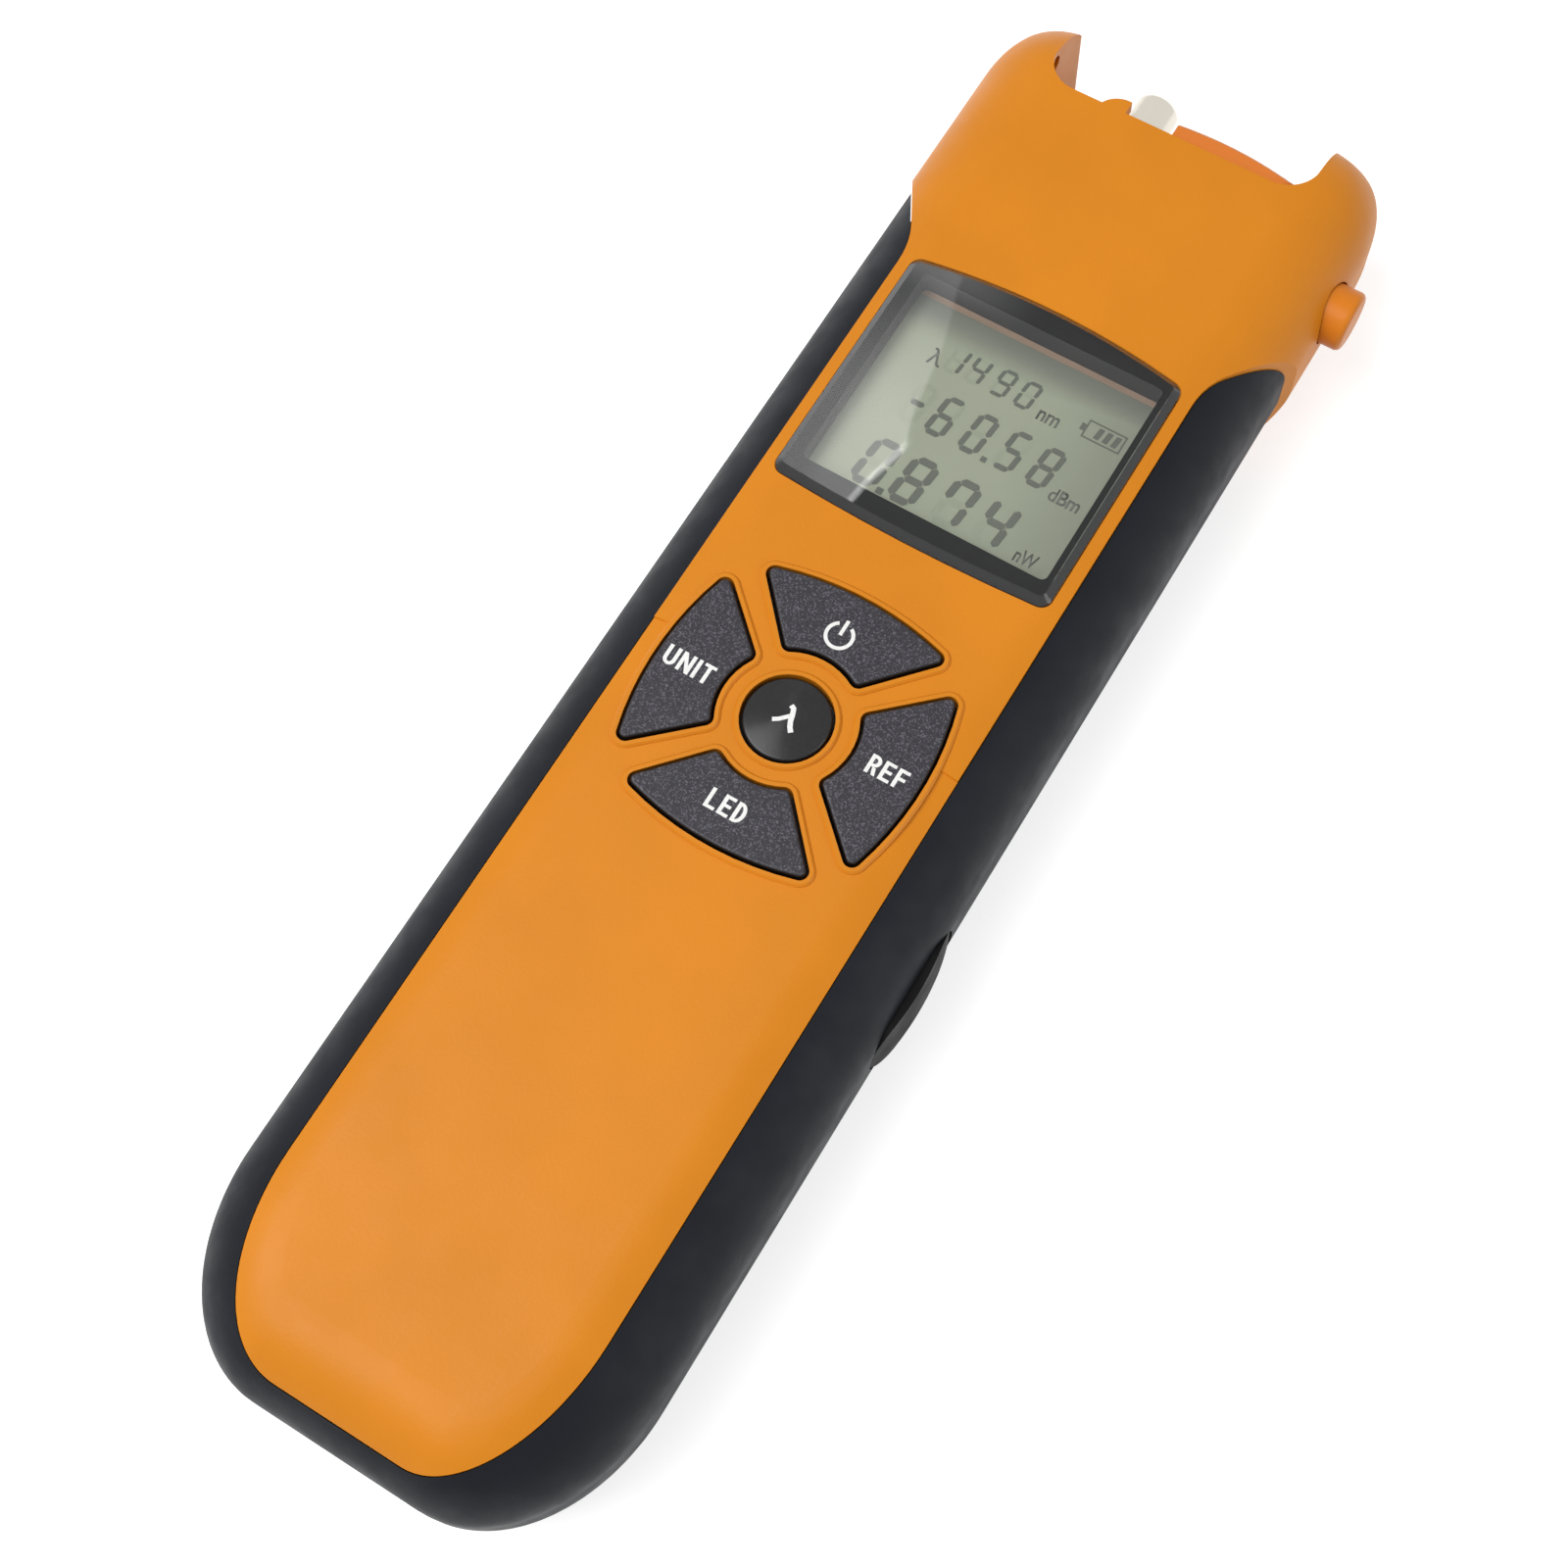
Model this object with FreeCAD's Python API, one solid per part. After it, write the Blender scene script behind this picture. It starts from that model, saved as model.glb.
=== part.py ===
"""Handheld optical power meter: moulded two-part case with a soft grip jacket, window, five keys,
battery bay with door, and an end plate that carries the detector adapter.

Frame: origin at the centre of the flat back, +X to the right of the face, +Y to the connector end,
+Z out of the face.  Millimetres.
"""
import FreeCAD, Part
import math
import os

V = FreeCAD.Vector

# ---------------------------------------------------------------- driving dimensions
# case envelope
HEIGHT = 26.0            # back to face
GRIP_HALF_W = 26.5       # half width over the soft jacket
HEAD_PROUD = 0.8         # head beyond the jacket, each side
HEAD_HALF_W = GRIP_HALF_W + HEAD_PROUD
SIDE_R = 11.0            # rounding of the long edges, front and back
TAIL_A, TAIL_B = 16.0, 22.0      # semi axes of the elliptical tail corners, across and along
JACKET_T = 2.0           # soft jacket thickness
WALL = 2.0               # moulded wall
FIT_GAP = 0.15           # clearance of pieces that sit in an opening
RUN_GAP = 0.03           # clearance of a shank or spigot in its bore

# battery bay, which sets the tail
CELL_R, CELL_L = 7.15, 49.2
CELL_PIP_R, CELL_PIP_H = 2.7, 1.3
CELL_EDGE_R = 0.6
CELL_X = 7.45
CELL_Z = 9.8
CONTACT_T = 0.4
CONTACT_H = 11.0
CONTACT_GAP = 0.4        # bridge to the bay's sides
SPRING_L = 4.9           # bow of a leaf spring
SPRING_HALF_W, SPRING_FOOT = 2.5, 4.3    # half width of the leaf, and its feet above and below its middle
TAIL_ROOM = 10.3         # jacket's end beyond the bay
BAY_Y1 = -29.0           # bay's end towards the keys
BAY_Y0 = BAY_Y1 - 2 * CONTACT_T - CELL_L - CELL_PIP_H - SPRING_L
BAY_HALF_W = 15.2
BAY_TOP = 17.4
BAY_WALL = 1.2
BAY_RIM_Z = 0.6          # bay walls start inside the back wall
DOOR_T = 2.0
DOOR_GAP = 0.25
DOOR_CORNER_R = 1.0
DOOR_LEDGE, DOOR_LEDGE_T, DOOR_LEDGE_END = 0.9, 1.2, 12.0
DOOR_SEAT_GAP = 0.05
HOOK_X, HOOK_W, HOOK_T, HOOK_REACH = 12.4, 4.0, 1.2, 1.3
HOOK_ROOT = 1.2          # length of a hook's foot on the door
HOOK_ROOM = 1.2          # free height over a hook, for its swing
RIDGE_T, RIDGE_PITCH, RIDGE_N = 0.8, 2.2, 5
RIDGE_DEPTH, RIDGE_INSET = 0.5, 4.0
RIDGE_SHARE, RIDGE_STEP = 0.6, 0.08      # first ridge's share of the door, and what each next one loses
TAB_HALF_W, TAB_BITE = 1.2, 2.5          # solder tail of a contact, and its reach over the board
TAB_IN = 3.0             # tail's middle towards the case's middle, from the cell's axis
TAB_GAP = 0.2            # slot beside a solder tail

# seam between the hard face and the jacket, seen from the front
TAIL_Y = BAY_Y0 - TAIL_ROOM              # tail end of the jacket
SEAM_HALF_W = 20.0
SEAM_LIP = 2.8           # jacket seen beyond the seam at the tail
SEAM_TAIL_Y = TAIL_Y + SEAM_LIP
SEAM_A, SEAM_B = 12.0, 21.0      # semi axes of the seam's tail corners
SEAM_FLARE_Y = 58.3      # where the seam turns outwards to the head
SEAM_FLARE_DEG = 61.0    # slope of the flare
SEAM_FLARE_R = 12.0
SEAM_GAP = 0.12          # fine groove along the seam

# head and its two horns
END_Y = 87.5             # edge of the shells between the horns
END_WALL = 3.0
HORN_L = 12.6            # horns beyond that edge
HORN_IN_X = 18.2         # inner side of a horn
HORN_CURVE_L = 11.0      # length over which a horn rounds off
HORN_OUT_A = 5.9         # how far its outer side comes in at the tip
HORN_DROP = 9.0          # how far its face and back come in at the tip
HORN_ROOT_R = 4.4
HORN_TIP_R = 1.6
HORN_SECTIONS = 8        # sections that shape a horn
HORN_TRIM = 0.01         # flat at the very tip
HORN_PIN_R = 1.3         # cross hole for a dust cover's pivot
HORN_PIN_OUT, HORN_PIN_DOWN = 3.8, 2.6   # its axis beyond the edge and below the face
HORN_PIN_Y, HORN_PIN_Z = END_Y + HORN_PIN_OUT, HEIGHT - HORN_PIN_DOWN
HORN_PIN_DEPTH = 2.6
END_BUMP_X, END_BUMP_W, END_BUMP_H = -7.4, 2.2, 1.8

# window and display
WIN_HALF_W = 18.45
WIN_TOP_Y, WIN_TOP_RISE = 56.4, 1.8
WIN_LOW_Y, WIN_LOW_RISE = 22.9, 0.7
WIN_CORNER_R = 1.6
WIN_T = 2.6              # lens thickness
WIN_PROUD = 0.9          # lens above the face
WIN_BEVEL = 0.9
WIN_LEDGE = 0.9          # shelf that carries the lens
WIN_SHELF_T = 1.8
GASKET_T = 0.3
FRAME_SIDE, FRAME_LOW, FRAME_TOP = 2.15, 3.5, 1.0        # window's edge to the view opening
VIEW_HALF_W, VIEW_R = WIN_HALF_W - FRAME_SIDE, 0.8
VIEW_LOW_Y, VIEW_TOP_Y = WIN_LOW_Y + FRAME_LOW, WIN_TOP_Y - FRAME_TOP
LCD_DEPTH = 5.0          # display glass below the face
LCD_T = 2.0
LCD_MARGIN = 0.7         # glass beyond the view opening, each side
GUIDE_T = 3.4            # light guide between the board and the display
GUIDE_CORNER = 0.5
STRIP_W, STRIP_HALF_L = 1.4, 14.0        # elastomer contact strips
STRIP_OUT = 0.3          # strips reach beyond the view opening

# keypad
KEY_Y = -3.5             # centre of the round key
KEY_R_IN = 8.2           # ring inside the four outer keys
KEY_HALF = 17.35         # outer arcs, from the centre
KEY_ARC_R = 39.0
KEY_APEX, KEY_WEDGE_DEG = 1.6, 42.5
KEY_CORNER_R = 1.1
KEY_ROUND_R = 5.45
KEY_GAP = 0.35           # running gap around each key
KEY_PROUD = 0.7
KEY_EDGE_R = 0.4
KEY_TRAVEL = 0.8
KEY_FLANGE, KEY_FLANGE_T = 0.5, 0.8
KEY_POCKET = 0.4         # clearance around a key's flange
KEY_SEAT_GAP = 0.1       # flange below the face wall
KEY_CROWN_R = 30.0       # domed top of the round key
KEY_STEM_R = 1.6
KEY_CENTRE = 12.3        # middle of an outer key, from the round key
RIM_W, RIM_H = 0.7, 0.35 # raised rim of the face around each key
RIM_SHARE = 0.7          # part of the rim's height that its chamfer takes

# electronics
PCB_TOP = HEIGHT - LCD_DEPTH - LCD_T - GUIDE_T
PCB_T = 1.6
PCB_EDGE_GAP = 1.5       # board to the grip's inner wall
PCB_HALF_W = GRIP_HALF_W - JACKET_T - WALL - PCB_EDGE_GAP
PCB_BAY_GAP = 3.4        # bay wall to the board's end
PCB_LOW_Y = BAY_Y1 + BAY_WALL + PCB_BAY_GAP
TOP_SCREW_RISE, TOP_SCREW_END = 6.2, 3.4         # upper board screws beyond the window, board beyond them
TOP_SCREW_Y = WIN_TOP_Y + TOP_SCREW_RISE
PCB_TOP_Y = TOP_SCREW_Y + TOP_SCREW_END
PCB_CORNER_R = 2.0
SWITCH_SIZE, SWITCH_H = 5.0, 1.6
PLUNGER_R, PLUNGER_H = 1.3, 0.6
TOUCH_GAP = 0.1          # left between a stem and its switch when fully pressed

# detector port
PORT_DOWN, PORT_L = 8.5, 8.9             # axis below the face, tip beyond the end edge
PORT_X, PORT_Z = -5.2, HEIGHT - PORT_DOWN
PORT_R, PORT_BORE_R = 2.9, 1.265
PORT_TIP_Y, PORT_TIP_R = END_Y + PORT_L, 1.0
PORT_FLANGE_R, PORT_FLANGE_T = 4.2, 1.6
PORT_SPIGOT_R, PORT_SPIGOT_L = 3.2, 2.1
PORT_BORE_L = 15.5
PORT_APERTURE_R = 0.75
DIODE_R, DIODE_L, DIODE_RIM_R, DIODE_RIM_T = 2.35, 3.6, 2.7, 0.7
HOLDER_HALF_W, HOLDER_HALF_H, HOLDER_R = 8.0, 5.2, 1.5
DIODE_SINK = 0.3         # diode rim behind the holder's back face
WIRE_R = 0.25            # component leads
WIRE_X = 1.27            # leads beside their axis
WIRE_BITE = 1.5          # leads reach over the board's end
THREAD_R = 0.8           # small screws of the detector holder
HOLDER_SCREW_X = 5.9
HOLDER_SCREW_HEAD_R, HOLDER_SCREW_HEAD_H = 1.5, 1.1
HOLDER_SCREW_BITE = 1.2  # thread beyond the inner side of the end wall
HOLDER_SCREW_ROOM = 0.2  # hole beyond the screw's end

# end plate and lamp
PLATE_X0, PLATE_X1 = -12.5, 16.5
PLATE_DOWN = 1.8         # plate's upper edge below the face
PLATE_Z0, PLATE_Z1 = 3.6, HEIGHT - PLATE_DOWN
PLATE_R = 1.5
PLATE_T = 2.4
PLATE_RIM, PLATE_RIM_T = 1.2, 1.2        # rim behind the end wall
PAD_X0, PAD_MID_X, PAD_EDGE = -0.3, 6.0, 0.5
PAD_LEFT, PAD_CREST, PAD_RIGHT = 3.5, 3.8, 2.5   # pad beyond the end edge
PAD_Y0, PAD_MID_Y, PAD_Y1 = END_Y + PAD_LEFT, END_Y + PAD_CREST, END_Y + PAD_RIGHT
LAMP_DOWN = 1.0          # lamp's axis below the board
LAMP_X, LAMP_Z, LAMP_R = 8.6, PCB_TOP - PCB_T - LAMP_DOWN, 2.5
LAMP_RIM_R, LAMP_RIM_T = 2.9, 1.0
LAMP_PROUD = 0.6

# side button
BTN_DOWN, BTN_BACK = 10.5, 6.3           # axis below the face, and back from the end edge
BTN_Y, BTN_Z, BTN_R = END_Y - BTN_BACK, HEIGHT - BTN_DOWN, 3.85
BTN_OUT = 2.8            # stands out of the head's side
BTN_EDGE_R = 0.8
BTN_TRAVEL = 1.5
BTN_GAP = 0.25
BTN_RIM, BTN_RIM_T = 1.0, 1.0
BTN_WALL = 2.9           # wall around the button
BTN_SEAT_X = HEAD_HALF_W - BTN_WALL
BTN_POCKET_L = 5.4       # room for the rim behind that wall
BTN_STEM_R = 1.5
SIDE_SWITCH_HALF, SIDE_SWITCH_T = 1.9, 3.4
SIDE_PLUNGER_R = 1.0
SIDE_BOARD_T = 1.2
SIDE_RIB_IN = 11.0       # rib behind the button's seat
SIDE_RIB_X, SIDE_RIB_T = BTN_SEAT_X - SIDE_RIB_IN, 1.6

# charging port on the right side
USB_UP = 3.4             # socket's middle from the board's end
USB_Y = PCB_LOW_Y + USB_UP
USB_W, USB_H, USB_L = 9.0, 3.2, 6.8
USB_SHELL_T = 0.4
USB_SETBACK = 0.3        # mouth of the socket inside the case wall
USB_SILL = 0.8           # case wall below the socket, down to the parting plane
USB_TONGUE_IN = 1.0      # tongue behind the socket's mouth
PART_Z = PCB_TOP - PCB_T - USB_H - USB_SILL      # parting plane of the two shells
COVER_L, COVER_H = 18.0, 8.6
COVER_PROUD, COVER_DROP = 0.9, 1.1
COVER_GAP = 0.2
COVER_PLUG_L = 1.8

# fasteners
SCREW_R, SCREW_HEAD_R, SCREW_HEAD_H = 1.25, 2.2, 1.5
SCREW_HEAD_EDGE = 0.4
SCREW_HEAD_ROOM = 0.2    # well around a screw's head
SCREW_SLOT_R, SCREW_SLOT_W, SCREW_SLOT_H = 1.25, 0.6, 0.8
BOSS_R, BOARD_BOSS_R = 3.0, 2.4
BOSS_CLEAR = 0.3
BOSS_FLOOR_Z = 4.6       # floor of the screw wells in the back
CASE_SCREW_L = 12.0
BOARD_SCREW_L = 5.0
SCREW_END_ROOM = 1.0     # hole beyond a screw's end
HEAD_SCREW_IN, HEAD_SCREW_UP = 11.1, 9.4         # screws in from the side, and from what lies below
BAY_SCREW_IN, BAY_SCREW_UP = 9.0, 2.8
LOW_SCREW_IN, LOW_SCREW_DROP = 2.7, 6.0
TOP_SCREW_IN = 6.4
HEAD_SCREW_X, HEAD_SCREW_Y = HEAD_HALF_W - HEAD_SCREW_IN, TOP_SCREW_Y + HEAD_SCREW_UP
BAY_SCREW_X, BAY_SCREW_Y = PCB_HALF_W - BAY_SCREW_IN, PCB_LOW_Y + BAY_SCREW_UP
LOW_SCREW_X, LOW_SCREW_Y = PCB_HALF_W - LOW_SCREW_IN, WIN_LOW_Y - LOW_SCREW_DROP
TOP_SCREW_X = PCB_HALF_W - TOP_SCREW_IN
CASE_SCREWS = [(-HEAD_SCREW_X, HEAD_SCREW_Y), (HEAD_SCREW_X, HEAD_SCREW_Y),
               (-BAY_SCREW_X, BAY_SCREW_Y), (BAY_SCREW_X, BAY_SCREW_Y)]
BOARD_SCREWS = [(-LOW_SCREW_X, LOW_SCREW_Y), (LOW_SCREW_X, LOW_SCREW_Y),
                (-TOP_SCREW_X, TOP_SCREW_Y), (TOP_SCREW_X, TOP_SCREW_Y)]


# ---------------------------------------------------------------- helpers
def box(x0, x1, y0, y1, z0, z1):
    return Part.makeBox(x1 - x0, y1 - y0, z1 - z0, V(x0, y0, z0))


def cyl_y(x, z, r, y0, y1):
    return Part.makeCylinder(r, y1 - y0, V(x, y0, z), V(0, 1, 0))


def cyl_z(x, y, r, z0, z1):
    return Part.makeCylinder(r, z1 - z0, V(x, y, z0), V(0, 0, 1))


def line(p, q):
    return Part.makeLine(V(p[0], p[1], 0), V(q[0], q[1], 0))


def quarter(cx, cy, ax, by):
    """Quarter of an ellipse, from its end along Y (0, by) to its end along X (ax, 0), about (cx, cy)."""
    centre = V(cx, cy, 0)
    end_y, end_x = V(cx, cy + by, 0), V(cx + ax, cy, 0)
    if abs(by) >= abs(ax):
        ellipse = Part.Ellipse(end_y, end_x, centre)
    else:
        ellipse = Part.Ellipse(end_x, end_y, centre)
    return Part.ArcOfEllipse(ellipse, 0, math.pi / 2).toShape()


def arc3(p, m, q):
    return Part.Arc(V(p[0], p[1], 0), V(m[0], m[1], 0), V(q[0], q[1], 0)).toShape()


def prism(edges, z0, z1):
    wire = Part.Wire(Part.__sortEdges__(edges))
    face = Part.Face(wire)
    face.translate(V(0, 0, z0))
    return face.extrude(V(0, 0, z1 - z0))


def rounded_rect(x0, x1, y0, y1, r, z0, z1):
    solid = box(x0, x1, y0, y1, z0, z1)
    return solid.makeFillet(r, [e for e in solid.Edges if abs(e.tangentAt(0).z) > 0.99])


def biggest(shape):
    return max(shape.Solids, key=lambda s: s.Volume)


def one(shape):
    """The shape as a single clean solid."""
    shape = shape.removeSplitter()
    return biggest(shape) if len(shape.Solids) > 1 else shape


def save(name, shape):
    os.makedirs("parts", exist_ok=True)
    shape.exportStep("parts/%s.step" % name)
    print(name, "solids", len(shape.Solids), "volume %.2f" % shape.Volume, "valid", shape.isValid())


# ---------------------------------------------------------------- case envelopes
GRIP_BACK = 3.5
FAR_Y = END_Y - GRIP_BACK                # the grip's envelope runs on inside the head to here
HORN_TIP_Y = END_Y + HORN_L
BIG = 140.0
ZONE_HALF = 40.0


def grip_body(inset):
    """Envelope of the grip: straight sides, elliptical tail corners, long edges fully rounded."""
    half, tail = GRIP_HALF_W - inset, TAIL_Y + inset
    a, b, r = TAIL_A - inset, TAIL_B - inset, SIDE_R - inset
    cx, cy = half - a, tail + b
    edges = [quarter(cx, cy, a, -b), quarter(-cx, cy, -a, -b), line((-cx, tail), (cx, tail)),
             line((half, cy), (half, FAR_Y)), line((half, FAR_Y), (-half, FAR_Y)),
             line((-half, FAR_Y), (-half, cy))]
    solid = prism(edges, inset, HEIGHT - inset)
    rims = [e for e in solid.Edges
            if abs(e.BoundBox.ZLength) < 1e-6 and e.CenterOfMass.y < FAR_Y - 1]
    return solid.makeFillet(r, rims)


def head_bar(inset):
    """Bar with the head's cross-section."""
    half, r = HEAD_HALF_W - inset, SIDE_R - inset
    bar = box(-half, half, 0, BIG, inset, HEIGHT - inset)
    return bar.makeFillet(r, [e for e in bar.Edges if e.BoundBox.YLength > BIG - 1])


def hard_zone(grow):
    """Prism over all that is hard and orange in plan: the face strip, its tail and the flared head."""
    half, tail = SEAM_HALF_W + grow, SEAM_TAIL_Y - grow
    a, b = SEAM_A + grow, SEAM_B + grow
    cx, cy = half - a, tail + b
    slope = math.radians(SEAM_FLARE_DEG)
    ux, uy = math.cos(slope), math.sin(slope)
    corner_y = SEAM_FLARE_Y - grow * ux + uy * (grow - grow * uy) / ux
    turn = math.pi / 2 - slope
    r = SEAM_FLARE_R - grow
    cut = r * math.tan(turn / 2)
    far = (ZONE_HALF - half) / ux
    edges = [line((-cx, tail), (cx, tail)), line((ZONE_HALF, BIG), (-ZONE_HALF, BIG))]
    for s in (1, -1):
        low = (s * half, corner_y - cut)
        mid = (s * (half + r * (1 - math.cos(turn / 2))), corner_y - cut + r * math.sin(turn / 2))
        high = (s * (half + cut * ux), corner_y + cut * uy)
        out = (s * ZONE_HALF, corner_y + far * uy)
        edges += [quarter(s * cx, cy, s * a, -b), line((s * half, cy), low), arc3(low, mid, high),
                  line(high, out), line(out, (s * ZONE_HALF, BIG))]
    return prism(edges, -1, HEIGHT + 1)


def head_section(y, half, drop):
    """Section of the head at y: flat face and back, both in by drop, rounded out to the half width."""
    flat, rise = HEAD_HALF_W - SIDE_R, SIDE_R - drop
    edges = []
    for z, t in ((HEIGHT - SIDE_R, 1), (SIDE_R, -1)):
        for s in (1, -1):
            centre, side, crest = V(s * flat, y, z), V(s * half, y, z), V(s * flat, y, z + t * rise)
            if half - flat > rise:
                ellipse = Part.Ellipse(side, crest, centre)
            else:
                ellipse = Part.Ellipse(crest, side, centre)
            edges.append(Part.ArcOfEllipse(ellipse, 0, math.pi / 2).toShape())
        edges.append(Part.makeLine(V(flat, y, z + t * rise), V(-flat, y, z + t * rise)))
    for x in (half, -half):
        edges.append(Part.makeLine(V(x, y, SIDE_R), V(x, y, HEIGHT - SIDE_R)))
    return Part.Wire(Part.__sortEdges__(edges))


def head_block():
    """The head as one block, its sides, face and back curving in to the horns' tips."""
    curve_y = HORN_TIP_Y - HORN_CURVE_L
    sections = []
    for i in range(HORN_SECTIONS):
        turn = math.pi / 2 * i / (HORN_SECTIONS - 1)
        share = 1 - math.cos(turn)
        sections.append(head_section(curve_y + HORN_CURVE_L * math.sin(turn),
                                     HEAD_HALF_W - HORN_OUT_A * share, HORN_DROP * share))
    end = Part.makeLoft(sections, True).common(box(-BIG, BIG, 0, HORN_TIP_Y - HORN_TRIM, -1, HEIGHT + 1))
    return head_bar(0).common(box(-BIG, BIG, 0, curve_y, -1, HEIGHT + 1)).fuse(end)


def horn_notch():
    """Prism of the opening between the horns: rounded roots, and tips rounded outwards."""
    root_x, root_y = HORN_IN_X - HORN_ROOT_R, END_Y + HORN_ROOT_R
    tip_x, tip_y = HORN_IN_X + HORN_TIP_R, HORN_TIP_Y - HORN_TIP_R
    k = math.sqrt(0.5)
    edges = [line((-root_x, END_Y), (root_x, END_Y)), line((-tip_x, BIG), (tip_x, BIG))]
    for s in (1, -1):
        edges += [line((s * tip_x, BIG), (s * tip_x, HORN_TIP_Y)),
                  arc3((s * tip_x, HORN_TIP_Y), (s * (tip_x - k * HORN_TIP_R), tip_y + k * HORN_TIP_R),
                       (s * HORN_IN_X, tip_y)),
                  line((s * HORN_IN_X, tip_y), (s * HORN_IN_X, root_y)),
                  arc3((s * HORN_IN_X, root_y), (s * (root_x + k * HORN_ROOT_R), root_y - k * HORN_ROOT_R),
                       (s * root_x, END_Y))]
    return prism(edges, -1, HEIGHT + 1)


# ---------------------------------------------------------------- shared features
WALL_IN_Y = END_Y - END_WALL       # inner side of the end wall
PLATE_REAR_Y = WALL_IN_Y - PLATE_RIM_T
FACE_IN_Z = HEIGHT - WALL                # inner side of the face
LCD_TOP = HEIGHT - LCD_DEPTH
RECESS_Z = HEIGHT + WIN_PROUD - WIN_T - GASKET_T
PCB_LOW = PCB_TOP - PCB_T
SWITCH_TOP = PCB_TOP + SWITCH_H + PLUNGER_H
USB_Z = PCB_LOW - USB_H / 2
GRIP_IN_X = GRIP_HALF_W - JACKET_T - WALL


def window_prism(grow, z0, z1):
    """Window outline: straight sides, arched top and bottom, rounded corners."""
    half, top, low = WIN_HALF_W + grow, WIN_TOP_Y + grow, WIN_LOW_Y - grow
    edges = [line((half, low), (half, top)), line((-half, low), (-half, top)),
             arc3((-half, top), (0, top + WIN_TOP_RISE), (half, top)),
             arc3((-half, low), (0, low - WIN_LOW_RISE), (half, low))]
    solid = prism(edges, z0, z1)
    upright = [e for e in solid.Edges if e.BoundBox.ZLength > (z1 - z0) * 0.9 and e.BoundBox.XLength < 0.01]
    return solid.makeFillet(WIN_CORNER_R + grow, upright)


def view_prism(grow, z0, z1):
    return rounded_rect(-VIEW_HALF_W - grow, VIEW_HALF_W + grow, VIEW_LOW_Y - grow, VIEW_TOP_Y + grow,
                        VIEW_R + max(grow, 0), z0, z1)


def outer_key(turn, grow, z0, z1):
    """Prism of one outer key: a wedge between the centre ring and the outer arc, turned about the ring."""
    h = math.radians(KEY_WEDGE_DEG)
    apex = KEY_APEX - grow / math.sin(h)
    reach = 2 * KEY_HALF
    side = (reach - apex) * math.tan(h)
    wedge = prism([line((0, apex), (side, reach)), line((side, reach), (-side, reach)),
                   line((-side, reach), (0, apex))], z0, z1)
    solid = wedge.common(cyl_z(0, KEY_HALF - KEY_ARC_R, KEY_ARC_R + grow, z0, z1))
    solid = solid.cut(cyl_z(0, 0, KEY_R_IN - grow, z0, z1))
    upright = [e for e in solid.Edges if e.BoundBox.ZLength > (z1 - z0) * 0.9 and e.BoundBox.XLength < 0.01]
    solid = solid.makeFillet(KEY_CORNER_R + grow, upright)
    solid.rotate(V(0, 0, 0), V(0, 0, 1), turn)
    solid.translate(V(0, KEY_Y, 0))
    return solid


def round_key(grow, z0, z1):
    return cyl_z(0, KEY_Y, KEY_ROUND_R + grow, z0, z1)


OUTER_KEYS = {"key_power": 0, "key_unit": 90, "key_led": 180, "key_ref": 270}


def key_prisms(grow, z0, z1):
    """All five key outlines, grown by a margin."""
    prisms = {name: outer_key(turn, grow, z0, z1) for name, turn in OUTER_KEYS.items()}
    prisms["key_wavelength"] = round_key(grow, z0, z1)
    return prisms


def key_centres():
    centres = {"key_wavelength": (0.0, KEY_Y)}
    for name, turn in OUTER_KEYS.items():
        a = math.radians(turn)
        centres[name] = (-KEY_CENTRE * math.sin(a), KEY_Y + KEY_CENTRE * math.cos(a))
    return centres


def slab_y(x0, x1, z0, z1, r, y0, y1):
    slab = box(x0, x1, y0, y1, z0, z1)
    return slab.makeFillet(r, [e for e in slab.Edges if e.BoundBox.YLength > (y1 - y0) * 0.9])


def plate_slab(grow, y0, y1):
    return slab_y(PLATE_X0 - grow, PLATE_X1 + grow, PLATE_Z0 - grow, PLATE_Z1 + grow, PLATE_R, y0, y1)


def cover_slot(grow, x0, x1):
    """Stadium outline of the port cover, through the side."""
    z = USB_Z
    r = COVER_H / 2 + grow
    mid = COVER_L / 2 - COVER_H / 2
    slot = box(x0, x1, USB_Y - mid, USB_Y + mid, z - r, z + r)
    for s in (1, -1):
        slot = slot.fuse(Part.makeCylinder(r, x1 - x0, V(x0, USB_Y + s * mid, z), V(1, 0, 0)))
    return slot.removeSplitter()


def usb_opening(shrink, x0, x1):
    return box(x0, x1, USB_Y - USB_W / 2 + shrink, USB_Y + USB_W / 2 - shrink,
               USB_Z - USB_H / 2 + shrink, USB_Z + USB_H / 2 - shrink)


def cyl_x(y, z, r, x0, x1):
    return Part.makeCylinder(r, x1 - x0, V(x0, y, z), V(1, 0, 0))


# ---------------------------------------------------------------- shells
def end_bump():
    """Small raised step on the end edge, left of the port."""
    x, w, h = END_BUMP_X, END_BUMP_W, END_BUMP_H
    edges = [line((x - w, END_Y - 1), (x + w / 2, END_Y - 1)),
             line((x + w / 2, END_Y - 1), (x + w / 2, END_Y + h)),
             arc3((x - w, END_Y), (x - w * 0.35, END_Y + h * 0.8), (x + w / 2, END_Y + h)),
             line((x - w, END_Y - 1), (x - w, END_Y))]
    return prism(edges, PLATE_Z1, HEIGHT)


def hard_outer():
    """Both shells as one solid block, before hollowing."""
    head = head_block().cut(horn_notch())
    raised = grip_body(0).fuse(head).common(hard_zone(0))
    return grip_body(JACKET_T).fuse(raised).removeSplitter()


def cavity():
    deep = grip_body(JACKET_T + WALL)
    under_face = grip_body(WALL).fuse(head_bar(WALL)).common(hard_zone(-WALL))
    room = deep.fuse(under_face)
    return room.common(box(-BIG, BIG, -BIG, WALL_IN_Y, 0, HEIGHT))


def pilot(x, y, z0, z1):
    return cyl_z(x, y, SCREW_R + RUN_GAP, z0, z1)


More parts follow.
